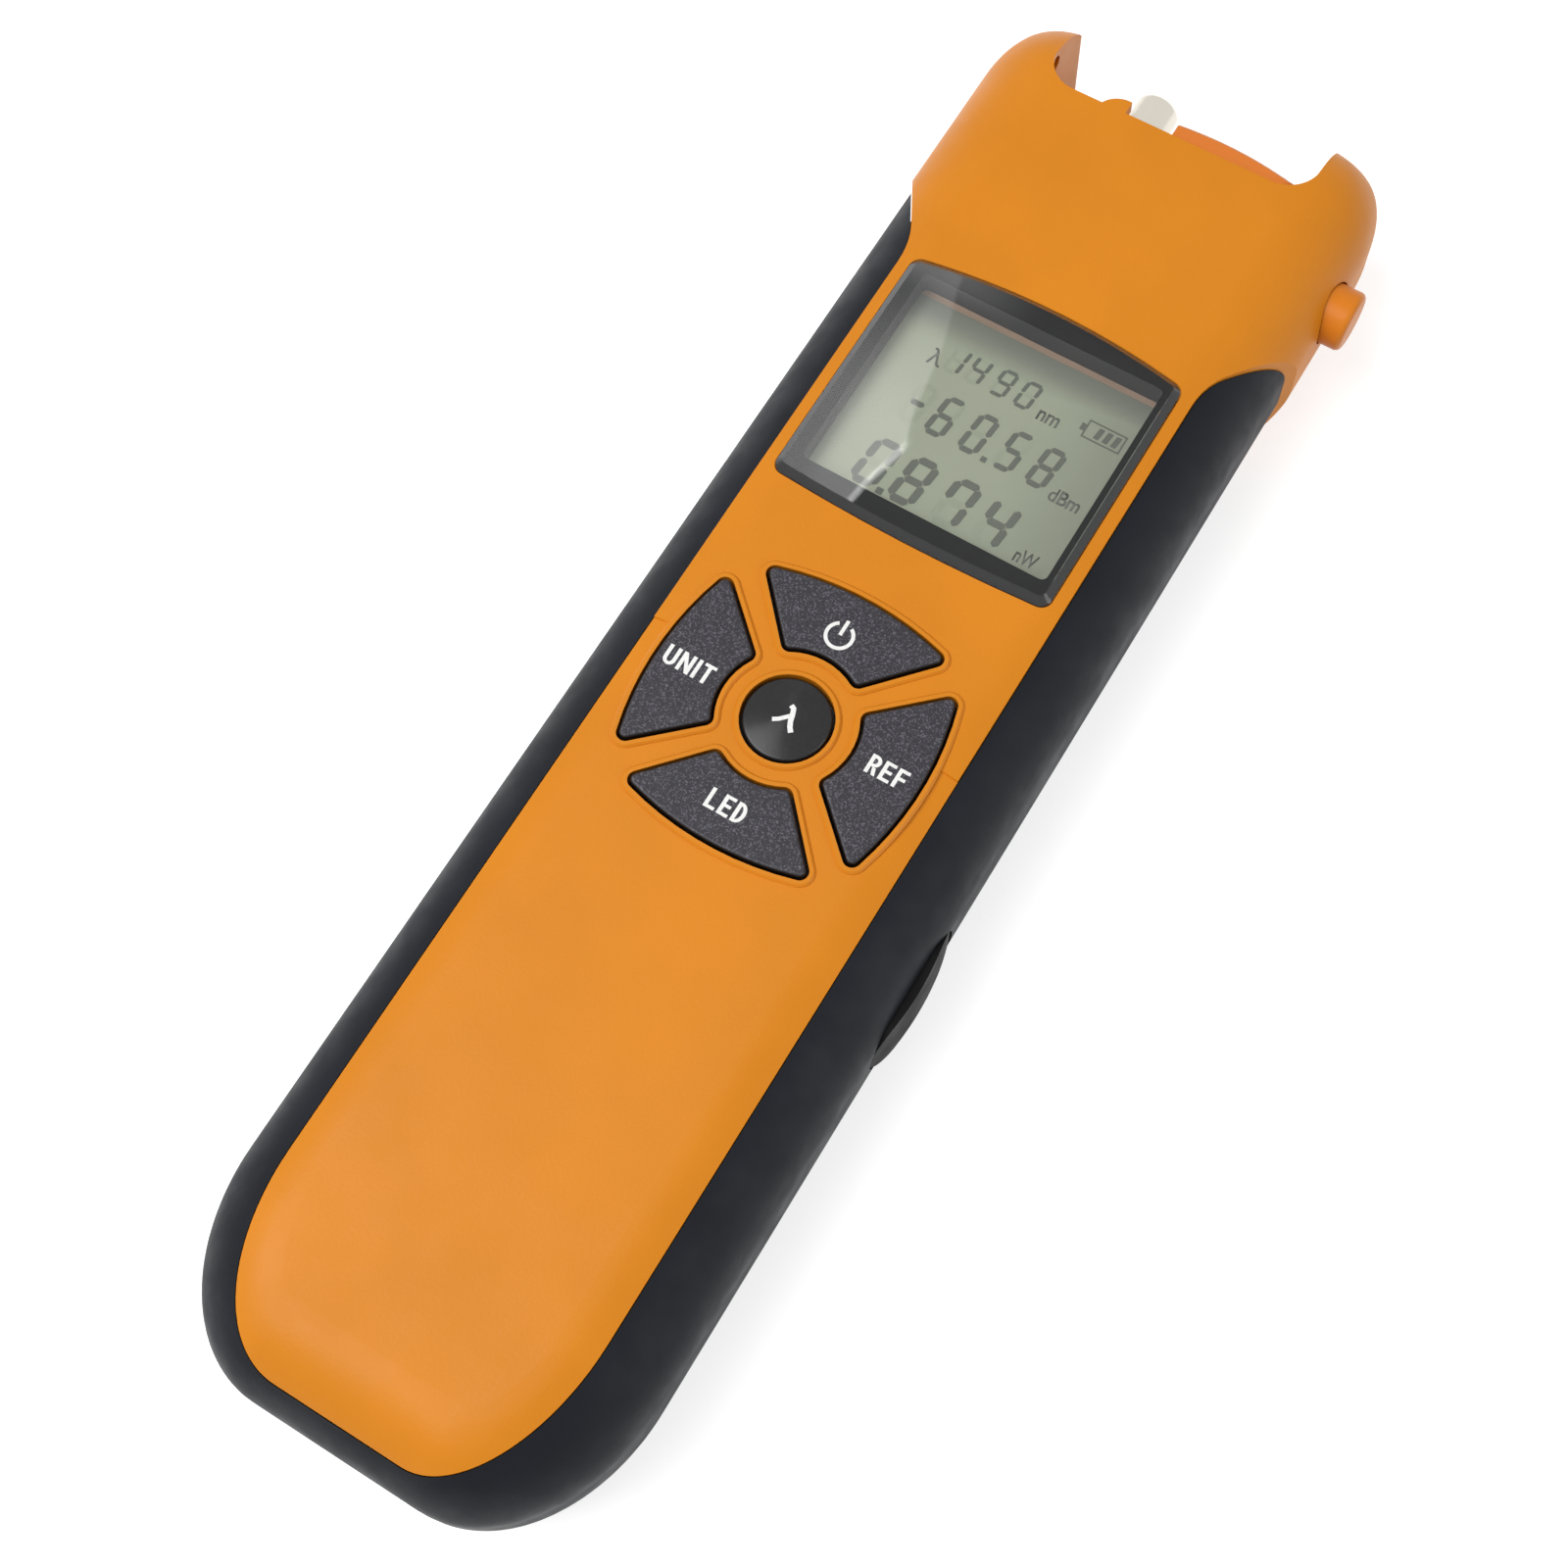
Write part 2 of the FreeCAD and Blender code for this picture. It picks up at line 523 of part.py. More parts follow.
def bay_box(grow, z0, z1):
    return box(-BAY_HALF_W - grow, BAY_HALF_W + grow, BAY_Y0 - grow, BAY_Y1 + grow, z0, z1)


def make_shells():
    outer = hard_outer()
    shell = outer.cut(cavity())
    shell = shell.cut(plate_slab(0, WALL_IN_Y - 1, HORN_TIP_Y))
    upper = box(-BIG, BIG, -BIG, BIG, PART_Z, BIG)
    front = front_features(shell.common(upper), outer)
    rear = rear_features(shell.cut(upper), outer)
    return front, rear


def front_features(front, outer):
    block = outer.common(box(-BIG, BIG, -BIG, BIG, PART_Z, HEIGHT))
    adds = [window_prism(WALL / 2, RECESS_Z - WIN_SHELF_T, FACE_IN_Z + 0.5)]
    adds += [cyl_z(x, y, BOSS_R, PART_Z, FACE_IN_Z + 0.5) for x, y in CASE_SCREWS]
    adds += [cyl_z(x, y, BOARD_BOSS_R, PCB_TOP, FACE_IN_Z + 0.5) for x, y in BOARD_SCREWS]
    for piece in adds:
        front = front.fuse(piece.common(block))
    front = front.fuse(end_bump())
    for ring in key_prisms(RIM_W, HEIGHT - 0.2, HEIGHT + RIM_H).values():
        top = [e for e in ring.Edges if e.CenterOfMass.z > HEIGHT + RIM_H - 0.01]
        front = front.fuse(ring.makeChamfer(RIM_H * RIM_SHARE, top))
    cuts = [window_prism(0, RECESS_Z, HEIGHT + 1), window_prism(-WIN_LEDGE, PCB_TOP, HEIGHT)]
    cuts += list(key_prisms(0, PCB_TOP, HEIGHT + 1).values())
    cuts += list(key_prisms(KEY_FLANGE + KEY_POCKET, PCB_TOP, FACE_IN_Z).values())
    cuts += [pilot(x, y, PART_Z - 1, BOSS_FLOOR_Z + CASE_SCREW_L + SCREW_END_ROOM) for x, y in CASE_SCREWS]
    cuts += [pilot(x, y, PCB_TOP - 1, PCB_LOW + BOARD_SCREW_L + SCREW_END_ROOM) for x, y in BOARD_SCREWS]
    cuts += [cyl_x(BTN_Y, BTN_Z, BTN_R + BTN_GAP, BTN_SEAT_X - 1, BIG),
             cyl_x(BTN_Y, BTN_Z, BTN_R + BTN_RIM + BTN_GAP, BTN_SEAT_X - BTN_POCKET_L, BTN_SEAT_X)]
    cuts += [cyl_x(HORN_PIN_Y, HORN_PIN_Z, HORN_PIN_R, -HORN_IN_X - HORN_PIN_DEPTH, 1 - HORN_IN_X)]
    cuts += [usb_opening(0, GRIP_IN_X - 1, GRIP_HALF_W)]
    for piece in cuts:
        front = front.cut(piece)
    return one(front)


def rear_features(rear, outer):
    block = outer.common(box(-BIG, BIG, -BIG, BIG, 0, PART_Z))
    rear = rear.fuse(bay_box(BAY_WALL, BAY_RIM_Z, BAY_TOP + BAY_WALL).common(outer))
    for x, y in CASE_SCREWS:
        rear = rear.fuse(cyl_z(x, y, BOSS_R, 0, PART_Z).common(block))
    rib = box(SIDE_RIB_X, SIDE_RIB_X + SIDE_RIB_T, BTN_Y - SIDE_SWITCH_HALF, BTN_Y + SIDE_SWITCH_HALF,
              WALL / 2, BTN_Z + SIDE_SWITCH_HALF)
    rear = rear.fuse(rib)
    rear = rear.cut(bay_box(0, -1, BAY_TOP))
    for s in (1, -1):
        ledge = box(BAY_HALF_W - DOOR_LEDGE, BAY_HALF_W + 0.1, BAY_Y0 + DOOR_LEDGE_END,
                    BAY_Y1 - DOOR_LEDGE_END, DOOR_T, DOOR_T + DOOR_LEDGE_T)
        if s < 0:
            ledge = ledge.mirror(V(0, 0, 0), V(1, 0, 0))
        rear = rear.fuse(ledge)
        rear = rear.cut(box(s * HOOK_X - HOOK_W / 2 - DOOR_GAP, s * HOOK_X + HOOK_W / 2 + DOOR_GAP,
                            BAY_Y0 - HOOK_REACH - DOOR_GAP, BAY_Y0 + 1, DOOR_T, DOOR_T + HOOK_T + HOOK_ROOM))
        slot = TAB_HALF_W + TAB_GAP
        x = s * (CELL_X - TAB_IN)
        rear = rear.cut(box(x - slot, x + slot, BAY_Y1 - 1, BAY_Y1 + BAY_WALL + 1,
                            PCB_LOW - CONTACT_T - TAB_GAP / 2, PCB_LOW + TAB_GAP / 2))
    for x, y in CASE_SCREWS:
        rear = rear.cut(cyl_z(x, y, SCREW_HEAD_R + SCREW_HEAD_ROOM, -1, BOSS_FLOOR_Z))
        rear = rear.cut(pilot(x, y, 0, PART_Z + 1))
    return one(rear)


def make_jacket():
    jacket = grip_body(0).cut(grip_body(JACKET_T)).cut(hard_zone(SEAM_GAP))
    jacket = jacket.cut(cover_slot(COVER_GAP, GRIP_IN_X, GRIP_HALF_W + 5))
    return one(jacket)


# ---------------------------------------------------------------- window and display
def make_window():
    lens = window_prism(-FIT_GAP, RECESS_Z + GASKET_T, HEIGHT + WIN_PROUD)
    top = [e for e in lens.Edges if e.CenterOfMass.z > HEIGHT + WIN_PROUD - 0.01]
    return lens.makeChamfer(WIN_BEVEL, top)


def make_gasket():
    return window_prism(-FIT_GAP, RECESS_Z, RECESS_Z + GASKET_T).cut(view_prism(0, 0, HEIGHT + 1))


def make_bezel():
    frame = window_prism(-WIN_LEDGE - FIT_GAP, LCD_TOP, RECESS_Z)
    return frame.cut(view_prism(0, 0, HEIGHT + 1))


def make_lcd():
    m = LCD_MARGIN
    lower = box(-VIEW_HALF_W - m, VIEW_HALF_W + m, VIEW_LOW_Y - 2 * m, VIEW_TOP_Y + 2 * m,
                LCD_TOP - LCD_T, LCD_TOP - LCD_T / 2)
    upper = box(-VIEW_HALF_W - m, VIEW_HALF_W + m, VIEW_LOW_Y - m, VIEW_TOP_Y + 2 * m,
                LCD_TOP - LCD_T / 2, LCD_TOP)
    return lower.fuse(upper).removeSplitter()


def make_light_guide():
    guide = box(-VIEW_HALF_W, VIEW_HALF_W, VIEW_LOW_Y + STRIP_W, VIEW_TOP_Y - STRIP_W,
                PCB_TOP, PCB_TOP + GUIDE_T)
    return guide.makeChamfer(GUIDE_CORNER, [e for e in guide.Edges if e.BoundBox.ZLength > GUIDE_T * 0.9])


def make_strips():
    strips = [box(-STRIP_HALF_L, STRIP_HALF_L, y, y + STRIP_W, PCB_TOP, PCB_TOP + GUIDE_T)
              for y in (VIEW_LOW_Y - STRIP_OUT, VIEW_TOP_Y - STRIP_W + STRIP_OUT)]
    return Part.Compound(strips)


# ---------------------------------------------------------------- keys
def make_keys():
    """Key caps with a flange behind the face and a stem over each switch."""
    top, seat = HEIGHT + KEY_PROUD, FACE_IN_Z - KEY_SEAT_GAP
    stem_z = SWITCH_TOP + KEY_TRAVEL + TOUCH_GAP
    caps = key_prisms(-KEY_GAP, seat - KEY_FLANGE_T, top)
    flanges = key_prisms(KEY_FLANGE, seat - KEY_FLANGE_T, seat)
    keys = {}
    for name, (x, y) in key_centres().items():
        cap = caps[name]
        if name == "key_wavelength":
            dome = Part.makeSphere(KEY_CROWN_R, V(x, y, top - KEY_CROWN_R))
            cap = cap.common(dome)
        rim = [e for e in cap.Edges if e.CenterOfMass.z > HEIGHT and e.BoundBox.ZLength < 0.1]
        cap = cap.makeFillet(KEY_EDGE_R, rim)
        stem = cyl_z(x, y, KEY_STEM_R, stem_z, seat)
        keys[name] = one(cap.fuse(flanges[name]).fuse(stem))
    return keys


def make_switches():
    half = SWITCH_SIZE / 2
    switches = []
    for x, y in key_centres().values():
        body = box(x - half, x + half, y - half, y + half, PCB_TOP, PCB_TOP + SWITCH_H)
        switches.append(body.fuse(cyl_z(x, y, PLUNGER_R, PCB_TOP, SWITCH_TOP)).removeSplitter())
    return Part.Compound(switches)


# ---------------------------------------------------------------- electronics
def make_board():
    board = rounded_rect(-PCB_HALF_W, PCB_HALF_W, PCB_LOW_Y, PCB_TOP_Y, PCB_CORNER_R, PCB_LOW, PCB_TOP)
    for x, y in CASE_SCREWS:
        board = board.cut(cyl_z(x, y, BOSS_R + BOSS_CLEAR, PCB_LOW - 1, PCB_TOP + 1))
    for x, y in BOARD_SCREWS:
        board = board.cut(pilot(x, y, PCB_LOW - 1, PCB_TOP + 1))
    return one(board)


# centre x, y and size across, along, deep of what is soldered under the board
CHIPS = [(0.0, 38.0, 10.0, 10.0, 1.4), (11.5, 30.0, 5.0, 6.0, 1.5), (-12.0, 44.0, 6.0, 8.0, 1.5),
         (-5.2, 57.5, 5.0, 5.0, 1.6), (12.0, 8.0, 7.0, 7.0, 3.0), (-14.0, 6.0, 4.0, 11.0, 3.4)]


def make_chips():
    return Part.Compound([box(x - w / 2, x + w / 2, y - l / 2, y + l / 2, PCB_LOW - t, PCB_LOW)
                          for x, y, w, l, t in CHIPS])


def make_usb_socket():
    x0, x1 = GRIP_IN_X - USB_SETBACK - USB_L, GRIP_IN_X - USB_SETBACK
    t = USB_SHELL_T
    shell = usb_opening(0, x0, x1).cut(usb_opening(t, x0 + t, x1 + 1))
    half = USB_W / 2 - 3 * t
    tongue = box(x0, x1 - USB_TONGUE_IN, USB_Y - half, USB_Y + half, USB_Z - t, USB_Z + t)
    return shell.fuse(tongue).removeSplitter()


def make_port_cover():
    """Rubber cover: domed lens in the jacket's slot, with a plug that fills the case opening."""
    flat = GRIP_HALF_W - JACKET_T + KEY_SEAT_GAP
    body = cover_slot(0, flat, GRIP_HALF_W + COVER_PROUD)
    crown = GRIP_HALF_W + COVER_PROUD
    half = COVER_L / 2
    radius = (half ** 2 + COVER_DROP ** 2) / (2 * COVER_DROP)
    dome = cyl_z(crown - radius, USB_Y, radius, 0, HEIGHT)
    plug = usb_opening(FIT_GAP, flat - COVER_PLUG_L, flat + 0.1)
    return one(body.common(dome).fuse(plug))


# ---------------------------------------------------------------- detector port, plate and lamp
def make_plate():
    """End plate: rim behind the end wall, body in its opening, arched pad around the lamp."""
    g = -FIT_GAP
    plate = plate_slab(g, WALL_IN_Y, WALL_IN_Y + PLATE_T)
    rim = slab_y(PLATE_X0 - PLATE_RIM, PLATE_X1 + PLATE_RIM, PLATE_Z0 - PLATE_RIM, FACE_IN_Z + g, PLATE_R,
                 PLATE_REAR_Y, WALL_IN_Y)
    x0, x1, y = PAD_X0, PLATE_X1, WALL_IN_Y
    pad = prism([line((x0, y), (x0, PAD_Y0)), arc3((x0, PAD_Y0), (PAD_MID_X, PAD_MID_Y), (x1, PAD_Y1)),
                 line((x1, PAD_Y1), (x1, y)), line((x1, y), (x0, y))], PLATE_Z0 - g, PLATE_Z1 + g)
    pad = pad.makeChamfer(PAD_EDGE, [e for e in pad.Edges if e.CenterOfMass.y > WALL_IN_Y + PLATE_T
                                     and e.BoundBox.ZLength < 0.01 and e.BoundBox.XLength > 10])
    plate = plate.fuse(rim).fuse(pad.common(plate_slab(g, WALL_IN_Y, BIG)))
    plate = plate.cut(cyl_y(PORT_X, PORT_Z, PORT_R + RUN_GAP, PLATE_REAR_Y - 1, BIG))
    plate = plate.cut(cyl_y(LAMP_X, LAMP_Z, LAMP_R + RUN_GAP, PLATE_REAR_Y - 1, BIG))
    for s in (1, -1):
        plate = plate.cut(cyl_y(PORT_X + s * HOLDER_SCREW_X, PORT_Z, THREAD_R + RUN_GAP, PLATE_REAR_Y - 1,
                                WALL_IN_Y + HOLDER_SCREW_BITE + HOLDER_SCREW_ROOM))
    return one(plate)


SPIGOT_Y = PLATE_REAR_Y - PORT_FLANGE_T - PORT_SPIGOT_L
HOLDER_Y = SPIGOT_Y - DIODE_L + DIODE_SINK


def make_adapter():
    """Metal sleeve for a 2.5 mm ferrule, clamped behind the plate by its flange."""
    body = cyl_y(PORT_X, PORT_Z, PORT_R, PLATE_REAR_Y - PORT_FLANGE_T, PORT_TIP_Y)
    tip = [e for e in body.Edges if e.CenterOfMass.y > PORT_TIP_Y - 0.01 and e.BoundBox.XLength > 1]
    body = body.makeFillet(PORT_TIP_R, tip)
    body = body.fuse(cyl_y(PORT_X, PORT_Z, PORT_FLANGE_R, PLATE_REAR_Y - PORT_FLANGE_T, PLATE_REAR_Y))
    body = body.fuse(cyl_y(PORT_X, PORT_Z, PORT_SPIGOT_R, SPIGOT_Y, PLATE_REAR_Y - PORT_FLANGE_T))
    body = body.cut(cyl_y(PORT_X, PORT_Z, PORT_BORE_R, PORT_TIP_Y - PORT_BORE_L, PORT_TIP_Y + 1))
    return one(body.cut(cyl_y(PORT_X, PORT_Z, PORT_APERTURE_R, SPIGOT_Y - 1, PORT_TIP_Y)))


def make_holder():
    holder = slab_y(PORT_X - HOLDER_HALF_W, PORT_X + HOLDER_HALF_W, PORT_Z - HOLDER_HALF_H,
                    PORT_Z + HOLDER_HALF_H, HOLDER_R, HOLDER_Y, PLATE_REAR_Y)
    steps = [(PORT_FLANGE_R, PLATE_REAR_Y - PORT_FLANGE_T, BIG), (PORT_SPIGOT_R, SPIGOT_Y, BIG),
             (DIODE_R, HOLDER_Y - 1, BIG), (DIODE_RIM_R, HOLDER_Y - 1, SPIGOT_Y - DIODE_L + DIODE_RIM_T)]
    for r, y0, y1 in steps:
        holder = holder.cut(cyl_y(PORT_X, PORT_Z, r + RUN_GAP, y0, y1))
    for s in (1, -1):
        x = PORT_X + s * HOLDER_SCREW_X
        holder = holder.cut(cyl_y(x, PORT_Z, THREAD_R + RUN_GAP, HOLDER_Y - 1, BIG))
    return one(holder)


def lead(x, y, z, board_z):
    """Bent wire from the back of a part to the board."""
    stop = PCB_TOP_Y - WIRE_BITE
    run = cyl_y(x, z, WIRE_R, stop, y)
    down = cyl_z(x, stop + WIRE_R, WIRE_R, min(z, board_z), max(z, board_z))
    return run.fuse(down)


def make_photodiode():
    rim_y = SPIGOT_Y - DIODE_L
    body = cyl_y(PORT_X, PORT_Z, DIODE_R, rim_y, SPIGOT_Y)
    body = body.fuse(cyl_y(PORT_X, PORT_Z, DIODE_RIM_R, rim_y, rim_y + DIODE_RIM_T))
    for s in (1, -1):
        body = body.fuse(lead(PORT_X + s * WIRE_X, rim_y, PORT_Z, PCB_TOP))
    return one(body)


def make_lamp():
    """Through-hole lamp whose domed tip looks out of the pad."""
    tip = PAD_MID_Y + LAMP_PROUD
    body = cyl_y(LAMP_X, LAMP_Z, LAMP_R, PLATE_REAR_Y - LAMP_RIM_T, tip - LAMP_R)
    body = body.fuse(Part.makeSphere(LAMP_R, V(LAMP_X, tip - LAMP_R, LAMP_Z)))
    body = body.fuse(cyl_y(LAMP_X, LAMP_Z, LAMP_RIM_R, PLATE_REAR_Y - LAMP_RIM_T, PLATE_REAR_Y))
    for s in (1, -1):
        body = body.fuse(lead(LAMP_X + s * WIRE_X, PLATE_REAR_Y - LAMP_RIM_T, LAMP_Z, PCB_LOW))
    return one(body)


# ---------------------------------------------------------------- side button
BTN_OUT_X = HEAD_HALF_W + BTN_OUT
SIDE_BOARD_X = SIDE_RIB_X + SIDE_RIB_T
SIDE_SWITCH_X = SIDE_BOARD_X + SIDE_BOARD_T


def make_side_button():
    rim_x = BTN_SEAT_X - KEY_SEAT_GAP
    body = cyl_x(BTN_Y, BTN_Z, BTN_R, rim_x - BTN_RIM_T, BTN_OUT_X)
    body = body.makeFillet(BTN_EDGE_R, [e for e in body.Edges if e.CenterOfMass.x > BTN_OUT_X - 0.01
                                        and e.BoundBox.YLength > 1])
    body = body.fuse(cyl_x(BTN_Y, BTN_Z, BTN_R + BTN_RIM, rim_x - BTN_RIM_T, rim_x))
    stem_x = SIDE_SWITCH_X + SIDE_SWITCH_T + PLUNGER_H + BTN_TRAVEL + TOUCH_GAP
    return one(body.fuse(cyl_x(BTN_Y, BTN_Z, BTN_STEM_R, stem_x, rim_x)))


def side_block(x0, x1):
    h = SIDE_SWITCH_HALF
    return box(x0, x1, BTN_Y - h, BTN_Y + h, BTN_Z - h, BTN_Z + h)


def make_side_switch():
    x1 = SIDE_SWITCH_X + SIDE_SWITCH_T
    plunger = cyl_x(BTN_Y, BTN_Z, SIDE_PLUNGER_R, x1 - 0.1, x1 + PLUNGER_H)
    return side_block(SIDE_SWITCH_X, x1).fuse(plunger).removeSplitter()


# ---------------------------------------------------------------- battery bay
def make_cell(x, flip):
    """Round cell with its positive pip; flip turns the pip to the tail."""
    span = CELL_L + CELL_PIP_H
    y0 = BAY_Y0 + CONTACT_T if flip else BAY_Y1 - CONTACT_T - span
    body_y = y0 + CELL_PIP_H if flip else y0
    body = cyl_y(x, CELL_Z, CELL_R, body_y, body_y + CELL_L)
    ends = [e for e in body.Edges if e.BoundBox.XLength > 1 and e.BoundBox.YLength < 0.1]
    body = body.makeFillet(CELL_EDGE_R, ends)
    pip_y = y0 if flip else y0 + CELL_L
    return one(body.fuse(cyl_y(x, CELL_Z, CELL_PIP_R, pip_y, pip_y + CELL_PIP_H)))


def make_spring(x, y, towards):
    """Leaf bowed out of a contact plate at y, its crest against the cell, towards +Y or -Y."""
    f, t, h = SPRING_FOOT, CONTACT_T, SPRING_L
    edges = [arc3((-f, 0), (0, h), (f, 0)), arc3((t - f, 0), (0, h - t), (f - t, 0)),
             line((-f, 0), (t - f, 0)), line((f - t, 0), (f, 0))]
    leaf = prism(edges, -SPRING_HALF_W, SPRING_HALF_W)
    leaf.rotate(V(0, 0, 0), V(0, 1, 0), 90)
    if towards < 0:
        leaf.rotate(V(0, 0, 0), V(0, 0, 1), 180)
    leaf.translate(V(x, y, CELL_Z))
    return leaf


def contact_plate(x, half, y):
    z0 = CELL_Z - CONTACT_H / 2
    return box(x - half, x + half, y, y + CONTACT_T, z0, z0 + CONTACT_H)


def contact_tail(x):
    """Solder tail from the head-end plate, through the bay wall, to the board."""
    z1 = PCB_LOW
    riser = box(x - TAB_HALF_W, x + TAB_HALF_W, BAY_Y1 - CONTACT_T, BAY_Y1, min(CELL_Z, z1), max(CELL_Z, z1))
    return riser.fuse(box(x - TAB_HALF_W, x + TAB_HALF_W, BAY_Y1 - CONTACT_T, PCB_LOW_Y + TAB_BITE,
                          z1 - CONTACT_T, z1))


def make_contacts():
    bridge = contact_plate(0, BAY_HALF_W - CONTACT_GAP, BAY_Y0)
    bridge = bridge.fuse(make_spring(-CELL_X, BAY_Y0 + CONTACT_T, 1))
    plates = {"bridge_contact": bridge}
    for name, s in (("positive_contact", -1), ("negative_contact", 1)):
        plate = contact_plate(s * CELL_X, CONTACT_H / 2, BAY_Y1 - CONTACT_T)
        plates[name] = plate.fuse(contact_tail(s * (CELL_X - TAB_IN)))
    spring = make_spring(CELL_X, BAY_Y1 - CONTACT_T, -1)
    plates["negative_contact"] = plates["negative_contact"].fuse(spring)
    return {name: one(plate) for name, plate in plates.items()}


def make_door():
    """Battery door, hooked at the tail end, with finger ridges at the other."""
    g = DOOR_GAP
    x, y0, y1 = BAY_HALF_W - g, BAY_Y0 + g, BAY_Y1 - g
    z0 = DOOR_T - DOOR_SEAT_GAP
    door = rounded_rect(-x, x, y0, y1, DOOR_CORNER_R, 0, z0)
    for s in (1, -1):
        x0, x1 = s * HOOK_X - HOOK_W / 2, s * HOOK_X + HOOK_W / 2
        hook = box(x0, x1, y0 - HOOK_REACH, y0 + HOOK_ROOT, DOOR_T + DOOR_SEAT_GAP, z0 + HOOK_T)
        root = box(x0, x1, y0 + DOOR_GAP, y0 + HOOK_ROOT, z0, z0 + HOOK_T)
        door = door.fuse(hook).fuse(root)
    for i in range(RIDGE_N):
        y = y1 - RIDGE_INSET - i * RIDGE_PITCH
        half = x * (RIDGE_SHARE - RIDGE_STEP * i)
        door = door.cut(box(-half, half, y, y + RIDGE_T, -1, RIDGE_DEPTH))
    return one(door)


# ---------------------------------------------------------------- fasteners
def screw(x, y, z, length, up=True):
    """Pan-head screw pointing +Z, head below z, cross recess in the head."""
    body = cyl_z(x, y, SCREW_R, z - 0.1, z + length)
    head = cyl_z(x, y, SCREW_HEAD_R, z - SCREW_HEAD_H, z)
    outer = [e for e in head.Edges if e.CenterOfMass.z < z - SCREW_HEAD_H + 0.01 and e.BoundBox.XLength > 1]
    head = head.makeChamfer(SCREW_HEAD_EDGE, outer)
    solid = head.fuse(body)
    a, b = SCREW_SLOT_R, SCREW_SLOT_W / 2
    z0, z1 = z - SCREW_HEAD_H - 1, z - SCREW_HEAD_H + SCREW_SLOT_H
    return solid.cut(box(x - a, x + a, y - b, y + b, z0, z1)).cut(box(x - b, x + b, y - a, y + a, z0, z1))


def make_case_screws():
    return Part.Compound([screw(x, y, BOSS_FLOOR_Z, CASE_SCREW_L) for x, y in CASE_SCREWS])


def make_board_screws():
    return Part.Compound([screw(x, y, PCB_LOW, BOARD_SCREW_L) for x, y in BOARD_SCREWS])


def make_holder_screws():
    screws = []
    for s in (1, -1):
        x = PORT_X + s * HOLDER_SCREW_X
        body = cyl_y(x, PORT_Z, THREAD_R, HOLDER_Y, WALL_IN_Y + HOLDER_SCREW_BITE)
        head = cyl_y(x, PORT_Z, HOLDER_SCREW_HEAD_R, HOLDER_Y - HOLDER_SCREW_HEAD_H, HOLDER_Y)
        screws.append(body.fuse(head).removeSplitter())
    return Part.Compound(screws)


# ---------------------------------------------------------------- all pieces
def main():
    front, rear = make_shells()
    pieces = {"front_shell": front, "rear_shell": rear, "grip_jacket": make_jacket(),
              "display_window": make_window(), "window_gasket": make_gasket(), "display_bezel": make_bezel(),
              "lcd_glass": make_lcd(), "light_guide": make_light_guide(), "contact_strips": make_strips(),
              "key_switches": make_switches(), "main_board": make_board(), "board_chips": make_chips(),
              "usb_socket": make_usb_socket(), "port_cover": make_port_cover(), "end_plate": make_plate(),
              "detector_adapter": make_adapter(), "detector_holder": make_holder(),
              "photodiode": make_photodiode(), "torch_lamp": make_lamp(), "side_button": make_side_button(),
              "side_board": side_block(SIDE_BOARD_X, SIDE_SWITCH_X), "side_switch": make_side_switch(),
              "battery_left": make_cell(-CELL_X, False), "battery_right": make_cell(CELL_X, True),
              "battery_door": make_door(), "case_screws": make_case_screws(),
              "board_screws": make_board_screws(), "holder_screws": make_holder_screws()}
    pieces.update(make_keys())
    pieces.update(make_contacts())
    for name, shape in pieces.items():
        save(name, shape)


main()
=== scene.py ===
"""Optical power meter: materials, key legends, display read-out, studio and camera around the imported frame.

Lengths are in millimetres and are turned into metres where an object is made. The floor, and the lamps'
places and sizes, are in metres.
"""
import math

import bmesh
import bpy
from mathutils import Matrix, Vector


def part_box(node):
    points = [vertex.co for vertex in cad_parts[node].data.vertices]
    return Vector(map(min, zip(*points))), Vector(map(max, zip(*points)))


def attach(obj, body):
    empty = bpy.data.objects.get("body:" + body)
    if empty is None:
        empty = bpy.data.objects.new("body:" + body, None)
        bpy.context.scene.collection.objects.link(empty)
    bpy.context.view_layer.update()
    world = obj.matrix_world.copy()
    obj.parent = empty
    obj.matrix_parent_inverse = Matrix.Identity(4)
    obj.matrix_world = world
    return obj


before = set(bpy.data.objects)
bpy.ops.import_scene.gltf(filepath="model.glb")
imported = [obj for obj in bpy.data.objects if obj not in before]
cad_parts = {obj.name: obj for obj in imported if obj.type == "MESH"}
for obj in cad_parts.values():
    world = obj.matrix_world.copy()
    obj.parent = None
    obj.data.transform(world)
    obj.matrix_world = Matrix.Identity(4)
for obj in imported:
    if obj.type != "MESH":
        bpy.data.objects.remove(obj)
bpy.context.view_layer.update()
MM = 0.001


def top_mm(node):
    """Height of a node's highest point."""
    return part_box(node)[1].z / MM


# ---------------------------------------------------------------- places read from the frame
KEY_LOW, KEY_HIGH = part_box("key_wavelength")
KEY_Y = (KEY_LOW.y + KEY_HIGH.y) / 2 / MM        # middle of the round key and of the ring of keys
KEY_TOP = top_mm("key_power")
LCD_TOP = top_mm("lcd_glass")
FILM_TOP = 54.5          # upper edge of the display's film; a ledge of bare glass shows above it

# ---------------------------------------------------------------- node helpers
NOISE_SPAN = (0.3, 0.7)  # the part of its range that noise mostly fills
MOTTLE_DETAIL = 3.0


